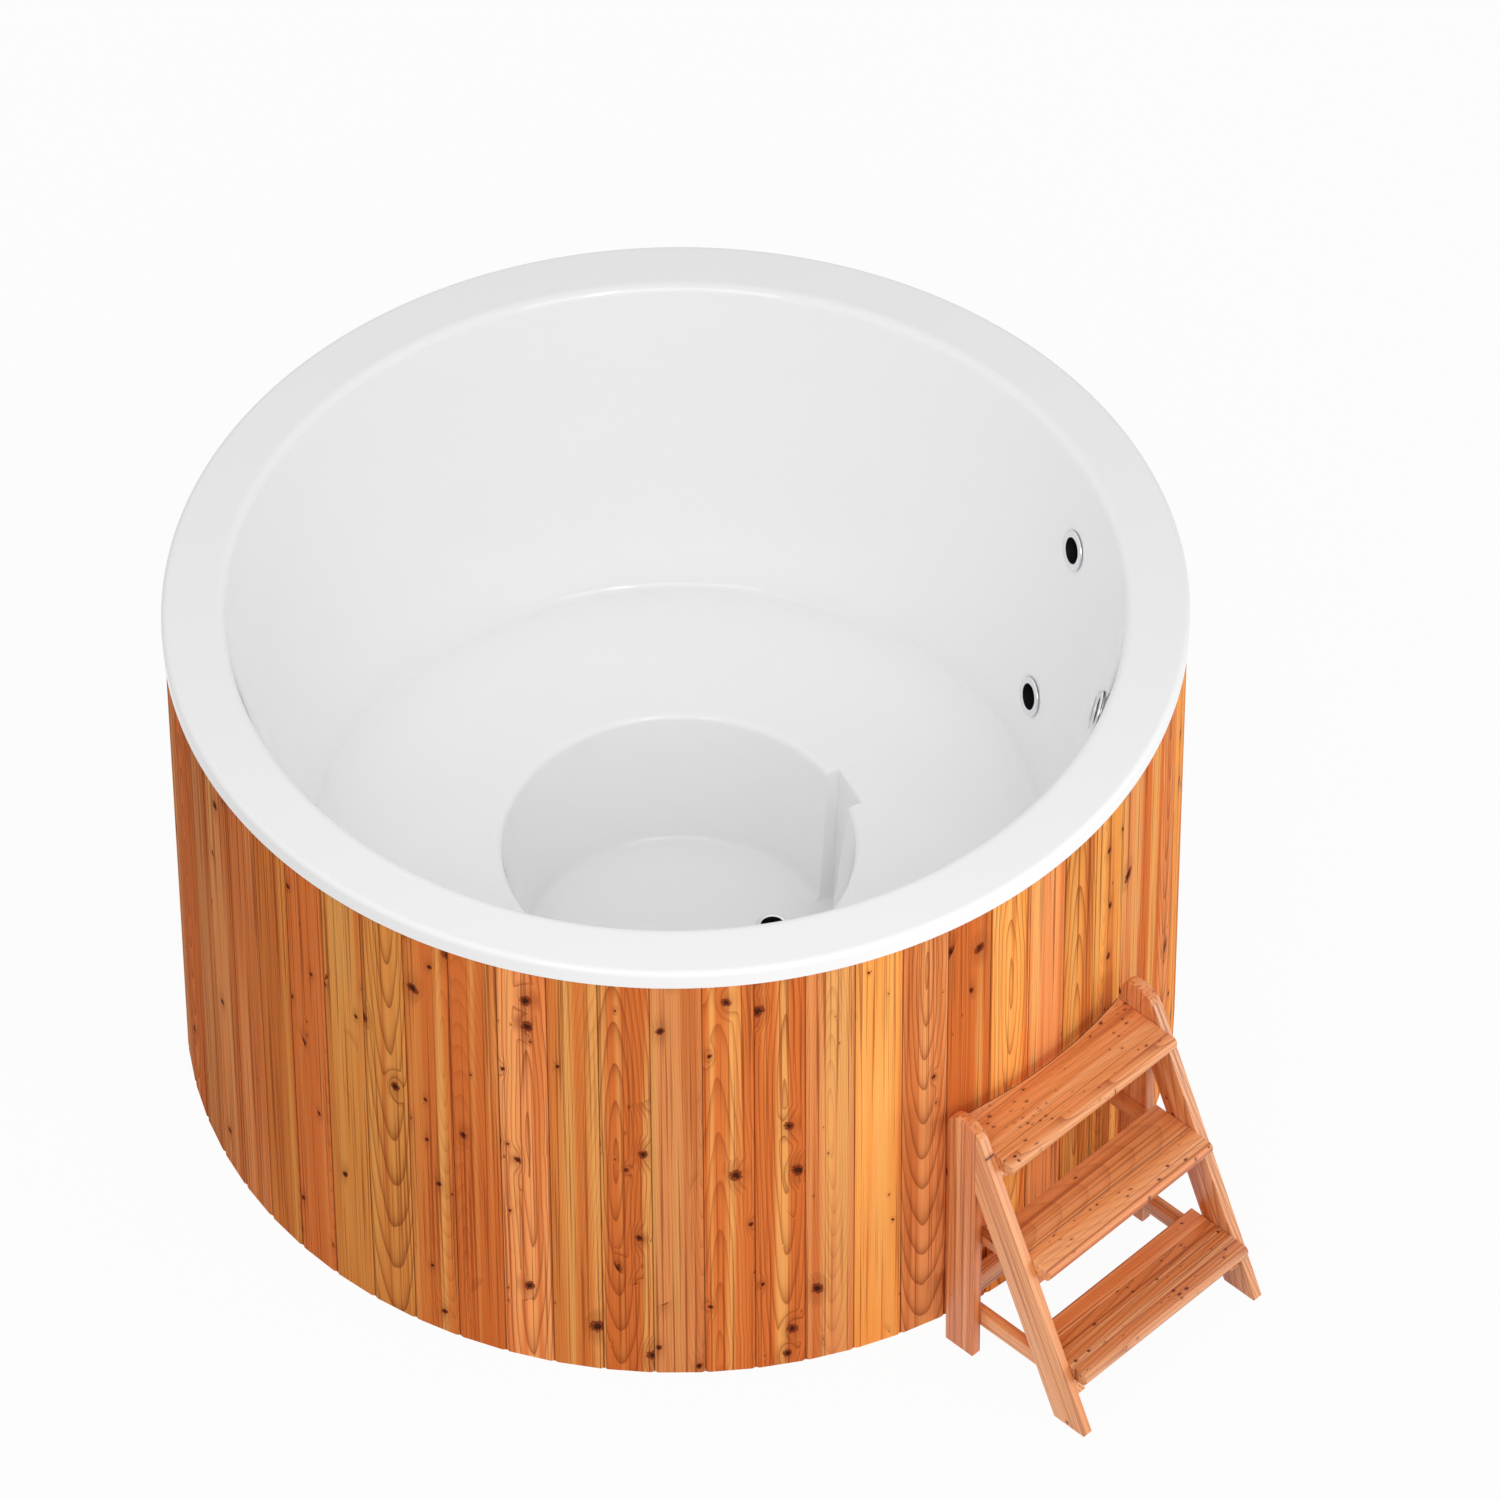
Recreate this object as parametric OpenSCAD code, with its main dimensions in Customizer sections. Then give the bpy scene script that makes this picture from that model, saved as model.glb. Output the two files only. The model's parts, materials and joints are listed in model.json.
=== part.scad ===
// Round cold plunge tub: a moulded shell with a bench and a footwell, clad in
// tongued and grooved boards, with a free-standing timber ladder in front.
// The origin is on the floor at the axis of the tub, +Z is up, millimetres.

/* [Tub shell] */
// Radius over the rim
rim_r = 900; // [850:5:1000]
// Height from the floor to the top of the rim
tub_h = 1032; // [980:1:1100]
// Width of the flat rim
rim_w = 109; // [95:1:115]
// Height of the skirt that hangs from the rim
skirt_h = 37; // [32:1:45]
// Thickness of the moulded shell
shell_t = 8; // [5:0.5:10]
// Radius of the bench where it meets the wall
bench_r = 648; // [610:1:680]
// Height of the bench at the wall
bench_z = 414; // [380:1:450]
// Fall of the bench towards the footwell
bench_fall = 4; // [1:0.5:8]
// Rounding of the outer edge of the rim
rim_round = 10; // [4:0.5:12]
// Rounding of the inner edge of the rim
rim_lip_round = 19; // [10:0.5:22]
// Fillet between the bench and the wall
bench_fillet = 14; // [6:1:24]

/* [Footwell] */
// Radius of the footwell at the level of the bench
well_top_r = 318; // [300:1:340]
// Radius of the footwell at its floor
well_floor_r = 280; // [265:1:295]
// Height of the floor of the footwell
well_z = 132; // [126:1:150]
// Rounding of the bench edge into the footwell
well_lip_round = 25; // [12:1:36]
// Fillet round the floor of the footwell
well_fillet = 18; // [8:1:24]

/* [Foot recess in the footwell wall] */
// Direction of the recess
recess_az = 24; // [10:1:40]
// Distance from the tub axis to the back of the recess at the bench
recess_top_back = 340; // [334:1:346]
// Distance from the tub axis to the back of the recess at the floor
recess_floor_back = 306; // [298:1:312]
// Half width of the recess at the bench
recess_top_half = 48; // [40:1:56]
// Left edge of the recess at the floor
recess_floor_left = 3; // [-10:1:20]
// Right edge of the recess at the floor
recess_floor_right = 58; // [45:1:65]
// Height of the recess floor above the floor of the footwell
recess_sill = 2; // [1:0.5:6]

/* [Cladding] */
// Number of boards round the tub
board_n = 63; // [63:9:72]
// Distance from the rim edge in to the corners of the cladding
board_inset = 3; // [1:0.5:6]
// Thickness of a board
board_t = 26; // [22:1:30]
// Direction of one seam
board_phase = -2; // [-5:0.5:0]
// Depth of the V along each seam
board_v = 3; // [1.5:0.5:5]
// Width of the arris of a board
board_v_w = 6.5; // [3:0.5:8]
// Length of the tongue
tongue_l = 7; // [5:0.5:9]
// Thickness of the tongue
tongue_t = 6; // [5:0.5:8]
// Play at the seams
board_play = 0.4; // [0.3:0.1:0.8]

/* [Frame under the shell] */
// Height of the joists
joist_h = 80; // [78:1:84]
// Width of a joist
joist_w = 45; // [38:1:60]
// Distance between joists
joist_pitch = 330; // [300:5:350]
// Thickness of the base plate and of the plate under the bench
plate_t = 18; // [15:1:20]
// Radial thickness of the hoops that carry the boards
hoop_t = 28; // [22:1:32]
// Height of a hoop
hoop_h = 69; // [50:1:80]
// Height of the middle of the middle hoop
middle_hoop_z = 655; // [600:5:700]
// Number of posts
post_n = 8; // [8:1:9]
// Direction of the first post
post_phase = 11; // [9:1:12]
// Width of a post along the hoops
post_w = 45; // [38:1:50]
// Depth of a post towards the shell
post_d = 36; // [30:1:38]
// Distance from the tub axis to the legs under the bench
bench_leg_r = 505; // [490:5:520]
// Section of a leg under the bench
bench_leg_w = 45; // [38:1:60]
// Thickness of the insulation
foam_t = 30; // [20:1:34]

/* [Ports in the wall] */
// Direction of the return port
return_az = 20.2; // [19:0.2:26]
// Depth of the return port below the rim
return_drop = 155; // [145:1:212]
// Direction of the suction port
suction_az = 20; // [19:0.2:26]
// Height of the suction port above the bench
suction_rise = 124; // [101:1:130]
// Direction of the overflow port
overflow_az = -8.8; // [-12:0.2:0]
// Depth of the overflow port below the rim
overflow_depth = 179; // [165:1:272]
// Radius of a port flange
port_flange_r = 37; // [36:0.5:44]
// Radius of a port bore
port_bore_r = 24; // [22:0.5:25]
// Radius over the thread of a port
port_tube_r = 30; // [28:0.5:32]
// Thickness of the flanges
flange_t = 3; // [3:0.5:6]
// Outer radius of a hose stub
stub_r = 25; // [20:0.5:26]
// Wall of the hose stubs and of the overflow pipe
stub_t = 4; // [2.5:0.5:6]
// Length of a hose stub outside the cladding
stub_reach = 42; // [30:1:44]
// Radius of the free end of a hose stub
stub_end_r = 24; // [18:0.5:24.5]

/* [Drain] */
// Drain in the footwell floor, to the right of the tub axis
drain_x = 168; // [160:1:175]
// Drain in the footwell floor, behind the tub axis
drain_y = 54; // [45:1:65]
// Radius of the drain flange
drain_flange_r = 29; // [28:0.5:34]
// Radius of the drain bore
drain_bore_r = 21; // [18:0.5:22]
// Height of the middle of the drain pipe
drain_pipe_z = 46; // [44:1:48]
// Outer radius of the drain pipe
drain_pipe_r = 20; // [16:0.5:21]
// Wall of the drain pipe
drain_pipe_t = 3; // [2:0.5:4]
// Distance from the cladding to the middle of the valve
valve_reach = 56; // [50:1:70]
// Radius of the valve ball
valve_ball_r = 25; // [24.5:0.5:26]
// Length of the valve lever
lever_l = 92; // [70:1:110]
// Radius of the free end of the drain outlet
outlet_end_r = 19; // [15:0.5:19.5]

/* [Ladder] */
// Direction of the ladder from the tub axis
ladder_az = -45; // [-60:1:-30]
// Sideways place of the ladder middle
ladder_side = -24.5; // [-60:0.5:20]
// Width over the side frames
ladder_w = 462; // [420:1:520]
// Gap between the cladding and the rear legs
ladder_gap = 8; // [4:1:60]
// Thickness of the side timbers
timber_t = 21; // [18:1:28]
// Width of the side timbers
timber_w = 66; // [60:1:75]
// Height of the rear legs
leg_h = 592; // [580:1:620]
// Width of the top of a side frame, before its front corner is rounded
crest_w = 65; // [62:1:75]
// Rounding of the front corner of a side frame
crest_round = 48; // [40:1:48]
// Rounding of the back corner of a side frame
crest_back_round = 28; // [15:1:28]
// Lean of the stringers from upright
stringer_lean = 24.5; // [22:0.5:26]
// Height of the lowest tread
tread_first = 129; // [110:1:140]
// Drop from the top of the side frames to the highest tread
tread_drop = 59; // [50:1:80]
// Thickness of a tread
tread_t = 30; // [24:1:34]
// Overhang of a tread in front of the stringers
tread_nose = 43; // [30:1:60]
// Rounding of the upper edge of a nose
nose_top_round = 12; // [6:1:14]
// Rounding of the lower edge of a nose
nose_low_round = 16; // [6:1:17]
// Depth of the two lower treads
tread_depth = 138; // [120:1:150]
// Gap between the cladding and the curved back of the top tread
tread_gap = 18; // [10:1:30]
// Height of a cleat under the lowest tread
low_cleat_h = 33; // [24:1:50]
// Height of the cleats under the other treads
cleat_h = 21; // [18:1:40]
// Height of the top of the rear rail
rail_top = 128; // [110:1:160]
// Height of the rear rail
rail_h = 47; // [30:1:60]
// Radius of a dowel
dowel_r = 5; // [3:0.5:6]
// Length of a dowel
dowel_l = 40; // [30:1:60]

/* [Fits] */
// Gap between pieces that seat on each other
seat_gap = 0.3; // [0.2:0.1:0.5]
// Gap round what passes through a hole
pass_gap = 2; // [1:0.5:4]
// Gap between a thread or spigot and its socket
thread_gap = 0.15; // [0.1:0.05:0.3]
// Gap between the valve ball and the parts round it
ball_gap = 0.4; // [0.3:0.1:0.5]
// Running gap round the valve stem
stem_gap = 0.08; // [0.04:0.02:0.1]

/* [Hidden] */

$fn = 96;
revolve_fn = 180;
arc_steps = 6;
over = 1;

// The shell, as lines of its inner and outer faces
rim_inner_r = rim_r - rim_w;
skirt_z = tub_h - skirt_h;
wall_taper = atan((rim_inner_r - bench_r) / (tub_h - bench_z));
well_taper = atan((well_top_r - well_floor_r) / (bench_z - bench_fall - well_z));
lip_z = bench_z - bench_fall;
under_bench_z = lip_z - shell_t;
under_well_z = well_z - shell_t;
function wall_r(z) = bench_r + (z - bench_z) * tan(wall_taper);
function wall_out_r(z) = wall_r(z) + shell_t / cos(wall_taper);
function well_r(z) = well_floor_r + (z - well_z) * tan(well_taper);
function well_out_r(z) = well_r(z) + shell_t / cos(well_taper);

// The ring of boards
board_step = 360 / board_n;
clad_r = rim_r - board_inset;
clad_flat_r = clad_r * cos(board_step / 2);
clad_in_r = clad_flat_r - board_t;
boards_per_node = board_n / 9;
board_top = skirt_z - over;

// The frame
hoop_out_r = clad_in_r - seat_gap;
hoop_in_r = hoop_out_r - hoop_t;
post_out_r = sqrt(pow(hoop_in_r - seat_gap, 2) - pow(post_w / 2, 2));
post_in_r = post_out_r - post_d;
base_top = joist_h + plate_t;
rim_under_z = tub_h - shell_t;
upper_hoop_z = rim_under_z - seat_gap - hoop_h;
middle_hoop_low = middle_hoop_z - hoop_h / 2;
bench_plate_top = under_bench_z - seat_gap;
recess_clear = 60;
bench_plate_in = recess_top_back + recess_clear;
bench_plate_out = bench_r - 2 * bench_fillet - shell_t;

// The ports: each axis is square to the wall
return_z = tub_h - return_drop;
suction_z = bench_z + suction_rise;
overflow_z = tub_h - overflow_depth;
flange_seat = port_flange_r * port_flange_r / (2 * bench_r) + seat_gap;
gasket_t = 1;
port_nut_t = 14;
port_nut_wall = 12;
port_nut_r = port_tube_r + port_nut_wall;
thread_past_nut = 24;
port_tube_end = shell_t + port_nut_t + thread_past_nut;
socket_start = shell_t + port_nut_t + 2 * seat_gap;
socket_l = 34;
socket_wall = 5;
nut_clearance = 5;
foam_hole_r = port_nut_r + nut_clearance;
hose_stop = 3;
hose_lead = 1;
overflow_r = post_in_r - over;
elbow_z = overflow_z - (overflow_r - wall_r(overflow_z)) * tan(wall_taper);
elbow_l = 62;
overflow_end_z = joist_h / 2;

// The drain, with its pipe run out through the middle of one board
drain_board = 14;
drain_exit_az = board_phase + (drain_board + 0.5) * board_step;
drain_exit = clad_flat_r * [cos(drain_exit_az), sin(drain_exit_az)];
drain_run = drain_exit - [drain_x, drain_y];
drain_az = atan2(drain_run.y, drain_run.x);
drain_len = norm(drain_run);
drain_tube_wall = 3;
drain_tube_r = drain_bore_r + drain_tube_wall;
drain_nut_t = 9;
drain_nut_wall = 9;
drain_nut_r = drain_tube_r + drain_nut_wall;
drain_socket_r = drain_tube_r + socket_wall;
drain_elbow_r = max(drain_pipe_r, drain_bore_r) + socket_wall;
drain_elbow_l = 46;
drain_tube_drop = 8;
drain_tube_z = base_top - drain_tube_drop;

// The valve
valve_x = drain_len + valve_reach;
valve_wall = 8;
valve_r = valve_ball_r + valve_wall;
valve_end = 20;
valve_half = valve_ball_r + valve_end;
seat_t = 5;
bonnet_h = 10;
stem_r = 6;
stem_slot = 4;
stem_reach = 24;
stem_top = valve_r + stem_reach;
lever_t = 6;
lever_w = 20;
lever_hub_r = 13;
lever_gap = 4;
lever_z = drain_pipe_z + valve_r + bonnet_h + lever_gap;

// The ladder, drawn with x away from the tub and y to its right-hand side
ladder_back = clad_r + ladder_gap;
leg_front = ladder_back + timber_w;
toe = ladder_back + crest_w + leg_h * tan(stringer_lean);
ladder_depth = toe - ladder_back;
stringer_w = timber_w / cos(stringer_lean);
function front_x(z) = toe - z * tan(stringer_lean);
function rear_x(z) = front_x(z) - stringer_w;
frame_in = ladder_w / 2 - timber_t;
tread_half = frame_in - seat_gap;
tread_rise = (leg_h - tread_drop - tread_first) / 2;
tread_tops = [tread_first, tread_first + tread_rise, tread_first + 2 * tread_rise];
top_back_r = clad_r + tread_gap;
cleat_setback = 7;
groove = 3;
dowel_end = 13;

// Rounded outlines: corners are [x, y, radius]
function unit(v) = v / norm(v);
function rounded_corner(a, b, c, r) =
    let (u = unit(a - b), v = unit(c - b))
    let (half = acos(u * v) / 2)
    let (middle = b + unit(u + v) * r / sin(half))
    let (p = b + u * r / tan(half) - middle, q = b + v * r / tan(half) - middle)
    let (start = atan2(p.y, p.x), turn = (atan2(q.y, q.x) - start + 540) % 360 - 180)
    [for (i = [0 : arc_steps]) middle + r * [cos(start + turn * i / arc_steps),
                                             sin(start + turn * i / arc_steps)]];
function flat_point(p) = [p.x, p.y];
function outline(path) = let (n = len(path))
    [for (i = [0 : n - 1])
        each (path[i][2] == 0 ? [flat_point(path[i])]
            : rounded_corner(flat_point(path[(i + n - 1) % n]), flat_point(path[i]),
                             flat_point(path[(i + 1) % n]), path[i][2]))];

module revolved(path) {
    rotate_extrude($fn = revolve_fn) polygon(outline(path));
}

module ring(inner, outer, height) {
    difference() {
        cylinder(h = height, r = outer);
        translate([0, 0, -over]) cylinder(h = height + 2 * over, r = inner);
    }
}

module tube(r, wall, length) {
    ring(r - wall, r, length);
}

// Puts +Z along the outward normal of the wall, from its inner face
module at_port(az, z) {
    rotate([0, 0, az]) translate([wall_r(z), 0, z]) rotate([0, 90 + wall_taper, 0]) children();
}

module at_each_port() {
    at_port(return_az, return_z) children();
    at_port(suction_az, suction_z) children();
    at_port(overflow_az, overflow_z) children();
}

// Puts +X along the drain pipe, from under the drain
module at_drain() {
    translate([drain_x, drain_y, drain_pipe_z]) rotate([0, 0, drain_az]) children();
}

// Distance along a port axis to the outside of the cladding
function exit_at(z) = (clad_r - wall_r(z)) / cos(wall_taper);

// A size that changes evenly from the floor of the footwell to the bench
function slant(low, high, z) = low + (high - low) * (z - well_z) / (lip_z - well_z);

// The recess up to the height top, grown by the thickness of what lies behind it
module recess(grow, top) {
    low = well_z + recess_sill - grow;
    rotate([0, 0, recess_az]) intersection() {
        rotate([90, 0, 90]) linear_extrude(height = rim_r) polygon([
            [-slant(recess_floor_right, recess_top_half, low) - grow, low],
            [slant(recess_floor_left, recess_top_half, low) + grow, low],
            [slant(recess_floor_left, recess_top_half, top) + grow, top],
            [-slant(recess_floor_right, recess_top_half, top) - grow, top]
        ]);
        rotate([90, 0, 0]) linear_extrude(height = rim_r, center = true) polygon([
            [well_floor_r / 2, low],
            [slant(recess_floor_back, recess_top_back, low) + grow, low],
            [slant(recess_floor_back, recess_top_back, top) + grow, top],
            [well_floor_r / 2, top]
        ]);
    }
}

module shell_body() {
    revolved([
        [0, well_z, 0],
        [well_floor_r, well_z, well_fillet],
        [well_top_r, lip_z, well_lip_round],
        [bench_r, bench_z, bench_fillet],
        [rim_inner_r, tub_h, rim_lip_round],
        [rim_r, tub_h, rim_round],
        [rim_r, skirt_z, 0],
        [rim_r - shell_t, skirt_z, 0],
        [rim_r - shell_t, rim_under_z, 2],
        [wall_out_r(rim_under_z), rim_under_z, rim_lip_round],
        [wall_out_r(under_bench_z), under_bench_z + bench_fall, bench_fillet + shell_t],
        [well_out_r(under_bench_z), under_bench_z, well_lip_round / 2],
        [well_out_r(under_well_z), under_well_z, well_fillet + shell_t],
        [0, under_well_z, 0]
    ]);
}

module recess_wall() {
    difference() {
        recess(shell_t, lip_z - shell_t / 2);
        revolved([
            [0, well_z - shell_t / 2, 0],
            [well_r(well_z) + shell_t / 2, well_z - shell_t / 2, well_fillet],
            [well_r(lip_z) + shell_t / 2, lip_z, 0],
            [0, lip_z, 0]
        ]);
    }
}

module tub_shell() {
    color("whitesmoke") difference() {
        union() {
            shell_body();
            recess_wall();
        }
        recess(0, lip_z + well_lip_round);
        at_each_port() translate([0, 0, -shell_t])
            cylinder(h = 3 * shell_t, r = port_tube_r + thread_gap);
        translate([drain_x, drain_y, under_well_z - shell_t])
            cylinder(h = 3 * shell_t, r = drain_tube_r + thread_gap);
    }
}

module wall_insulation() {
    low = bench_z + bench_fillet;
    high = upper_hoop_z - seat_gap;
    cap_r = post_in_r - seat_gap;
    kink = bench_z + (cap_r - bench_r - shell_t / cos(wall_taper) - seat_gap - foam_t)
        / tan(wall_taper);
    color("khaki") difference() {
        rotate_extrude($fn = revolve_fn) polygon([
            [wall_out_r(low) + seat_gap, low],
            [wall_out_r(low) + seat_gap + foam_t, low],
            [cap_r, kink],
            [cap_r, high],
            [wall_out_r(high) + seat_gap, high]
        ]);
        at_each_port() translate([0, 0, -shell_t])
            cylinder(h = 4 * foam_t, r = foam_hole_r);
        rotate([0, 0, overflow_az]) translate([overflow_r, 0, 0])
            cylinder(h = elbow_z, r = stub_r + socket_wall + pass_gap);
    }
}

module well_insulation() {
    low = well_z + well_fillet;
    high = bench_plate_top - plate_t - pass_gap;
    color("khaki") difference() {
        rotate_extrude($fn = revolve_fn) polygon([
            [well_out_r(low) + seat_gap, low],
            [well_out_r(low) + seat_gap + foam_t, low],
            [well_out_r(high) + seat_gap + foam_t, high],
            [well_out_r(high) + seat_gap, high]
        ]);
        recess(shell_t + seat_gap, lip_z);
    }
}

module well_pad() {
    color("khaki") translate([0, 0, base_top + seat_gap]) difference() {
        cylinder(h = under_well_z - base_top - 2 * seat_gap,
                 r = well_floor_r - well_fillet - shell_t);
        translate([drain_x, drain_y, -over])
            cylinder(h = shell_t + well_z, r = drain_nut_r + pass_gap);
    }
}

module hoop(low) {
    color("burlywood") translate([0, 0, low]) ring(hoop_in_r, hoop_out_r, hoop_h);
}

module upper_hoop() {
    hoop(upper_hoop_z);
}

module middle_hoop() {
    hoop(middle_hoop_low);
}

module lower_hoop() {
    hoop(base_top + seat_gap);
}

module frame_posts() {
    foot = base_top + seat_gap;
    color("tan") for (i = [0 : post_n - 1])
        rotate([0, 0, post_phase + i * 360 / post_n])
            translate([post_in_r, -post_w / 2, foot])
                cube([post_d, post_w, upper_hoop_z - seat_gap - foot]);
}

module base_joists() {
    color("tan") for (i = [-2 : 2])
        intersection() {
            translate([i * joist_pitch - joist_w / 2, -rim_r, 0])
                cube([joist_w, 2 * rim_r, joist_h - seat_gap]);
            translate([0, 0, -over]) cylinder(h = joist_h + 2 * over, r = hoop_out_r);
        }
}

module base_plate() {
    color("burlywood") difference() {
        translate([0, 0, joist_h]) cylinder(h = plate_t, r = hoop_out_r);
        translate([drain_x, drain_y, 0]) cylinder(h = 2 * base_top, r = drain_nut_r + pass_gap);
        rotate([0, 0, overflow_az]) translate([overflow_r, 0, 0])
            cylinder(h = 2 * base_top, r = stub_r + seat_gap);
    }
}

module bench_plate() {
    color("burlywood") translate([0, 0, bench_plate_top - plate_t])
        ring(bench_plate_in, bench_plate_out, plate_t);
}

module bench_legs() {
    foot = base_top + seat_gap;
    color("tan") for (i = [0 : post_n - 1])
        rotate([0, 0, post_phase + i * 360 / post_n])
            translate([bench_leg_r - bench_leg_w / 2, -bench_leg_w / 2, foot])
                cube([bench_leg_w, bench_leg_w,
                      bench_plate_top - plate_t - seat_gap - foot]);
}

// A point by its distance from the tub axis along a seam and its distance past
// the seam, on the left (side = 1) or the right (side = -1) edge of a board
function at_seam(side, r, past) =
    let (half = board_step / 2)
    [r * cos(half) - side * past * sin(half), side * r * sin(half) + past * cos(half)];

// One board seen from above: its tongue is on the left and its groove on the right
module board_section() {
    face = clad_r * sin(board_step / 2) - board_v_w;
    back = clad_in_r / cos(board_step / 2);
    tongue_in = (clad_r + back - tongue_t) / 2;
    tongue_out = tongue_in + tongue_t;
    play = board_play / 2;
    polygon([
        [clad_flat_r, face],
        at_seam(1, clad_r - board_v, -play),
        at_seam(1, tongue_out, -play),
        at_seam(1, tongue_out, tongue_l - play),
        at_seam(1, tongue_in, tongue_l - play),
        at_seam(1, tongue_in, -play),
        at_seam(1, back, -play),
        at_seam(-1, back, play),
        at_seam(-1, tongue_in - play, play),
        at_seam(-1, tongue_in - play, tongue_l + board_play),
        at_seam(-1, tongue_out + play, tongue_l + board_play),
        at_seam(-1, tongue_out + play, play),
        at_seam(-1, clad_r - board_v, play),
        [clad_flat_r, -face]
    ]);
}

// What the boards are drilled for: two hose stubs and the drain pipe
module board_holes() {
    at_port(return_az, return_z) translate([0, 0, exit_at(return_z) - 2 * board_t])
        cylinder(h = 3 * board_t, r = stub_r + seat_gap);
    at_port(suction_az, suction_z) translate([0, 0, exit_at(suction_z) - 2 * board_t])
        cylinder(h = 3 * board_t, r = stub_r + seat_gap);
    at_drain() translate([drain_len - 2 * board_t, 0, 0]) rotate([0, 90, 0])
        cylinder(h = 3 * board_t, r = drain_pipe_r + seat_gap);
}

module cladding_boards(group) {
    first = (group - 1) * boards_per_node;
    color("peru") for (i = [first : first + boards_per_node - 1])
        difference() {
            rotate([0, 0, board_phase + (i + 0.5) * board_step])
                linear_extrude(height = board_top) board_section();
            board_holes();
        }
}

module port_flange() {
    front = -(flange_seat + gasket_t + flange_t);
    revolved([
        [port_bore_r, front, 0],
        [port_flange_r, front, flange_t / 2],
        [port_flange_r, front + flange_t, 0],
        [port_tube_r, front + flange_t, 0],
        [port_tube_r, port_tube_end, 0],
        [port_bore_r, port_tube_end, 0]
    ]);
}

module return_flange() {
    color("gainsboro") at_port(return_az, return_z) port_flange();
}

module suction_flange() {
    color("gainsboro") at_port(suction_az, suction_z) port_flange();
}

module overflow_flange() {
    color("gainsboro") at_port(overflow_az, overflow_z) port_flange();
}

module port_gaskets() {
    color("dimgray") at_each_port() translate([0, 0, -flange_seat - gasket_t])
        ring(port_tube_r + thread_gap, port_flange_r - over, gasket_t);
}

module port_nuts() {
    color("gray") at_each_port() translate([0, 0, shell_t + seat_gap]) difference() {
        cylinder(h = port_nut_t, r = port_nut_r, $fn = 6);
        translate([0, 0, -over])
            cylinder(h = port_nut_t + 2 * over, r = port_tube_r + thread_gap);
    }
}

// A socket over the thread of a port, reduced to a stub for a hose
module hose_stub(z) {
    shoulder = socket_start + socket_l;
    end = exit_at(z) + stub_reach;
    revolved([
        [port_tube_r + thread_gap, socket_start, 0],
        [port_tube_r + socket_wall, socket_start, 2],
        [port_tube_r + socket_wall, shoulder, 4],
        [stub_r, shoulder + socket_wall, 0],
        [stub_r, exit_at(z) + hose_stop, 0],
        [stub_end_r, exit_at(z) + hose_stop, 0],
        [stub_end_r, end, hose_lead],
        [stub_r - stub_t, end, 0],
        [stub_r - stub_t, port_tube_end + seat_gap, 0],
        [port_tube_r + thread_gap, port_tube_end + seat_gap, 0]
    ]);
}

module return_stub() {
    color("gray") at_port(return_az, return_z) hose_stub(return_z);
}

module suction_stub() {
    color("gray") at_port(suction_az, suction_z) hose_stub(suction_z);
}

module overflow_elbow() {
    turn_at = (overflow_r - wall_r(overflow_z)) / cos(wall_taper);
    color("gray") difference() {
        union() {
            at_port(overflow_az, overflow_z) translate([0, 0, socket_start])
                cylinder(h = turn_at - socket_start, r = port_tube_r + socket_wall);
            rotate([0, 0, overflow_az]) translate([overflow_r, 0, elbow_z - elbow_l])
                cylinder(h = elbow_l, r = stub_r + socket_wall);
            rotate([0, 0, overflow_az]) translate([overflow_r, 0, elbow_z])
                sphere(r = port_tube_r + socket_wall + over);
        }
        at_port(overflow_az, overflow_z) {
            cylinder(h = turn_at, r = stub_r - stub_t);
            cylinder(h = port_tube_end + seat_gap, r = port_tube_r + thread_gap);
        }
        rotate([0, 0, overflow_az]) translate([overflow_r, 0, elbow_z]) {
            sphere(r = stub_r - stub_t + over / 2);
            translate([0, 0, -elbow_l - over]) cylinder(h = elbow_l, r = stub_r - stub_t);
            translate([0, 0, -elbow_l - over])
                cylinder(h = elbow_l / 2, r = stub_r + thread_gap);
        }
    }
}

module overflow_pipe() {
    color("lightgray") rotate([0, 0, overflow_az])
        translate([overflow_r, 0, overflow_end_z])
            tube(stub_r, stub_t, elbow_z - elbow_l / 2 - 2 * over - overflow_end_z);
}

module drain_flange() {
    seat = well_z + seat_gap + gasket_t;
    color("silver") translate([drain_x, drain_y, 0]) revolved([
        [drain_bore_r, drain_tube_z, 0],
        [drain_tube_r, drain_tube_z, 0],
        [drain_tube_r, seat, 0],
        [drain_flange_r, seat, 0],
        [drain_flange_r, seat + flange_t, flange_t / 2],
        [drain_bore_r, seat + flange_t, 0]
    ]);
}

module drain_gasket() {
    color("dimgray") translate([drain_x, drain_y, well_z + seat_gap])
        ring(drain_tube_r + thread_gap, drain_flange_r - over / 2, gasket_t);
}

module drain_nut() {
    color("gray") translate([drain_x, drain_y, under_well_z - seat_gap - drain_nut_t])
        difference() {
            cylinder(h = drain_nut_t, r = drain_nut_r, $fn = 6);
            translate([0, 0, -over])
                cylinder(h = drain_nut_t + 2 * over, r = drain_tube_r + thread_gap);
        }
}

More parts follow.
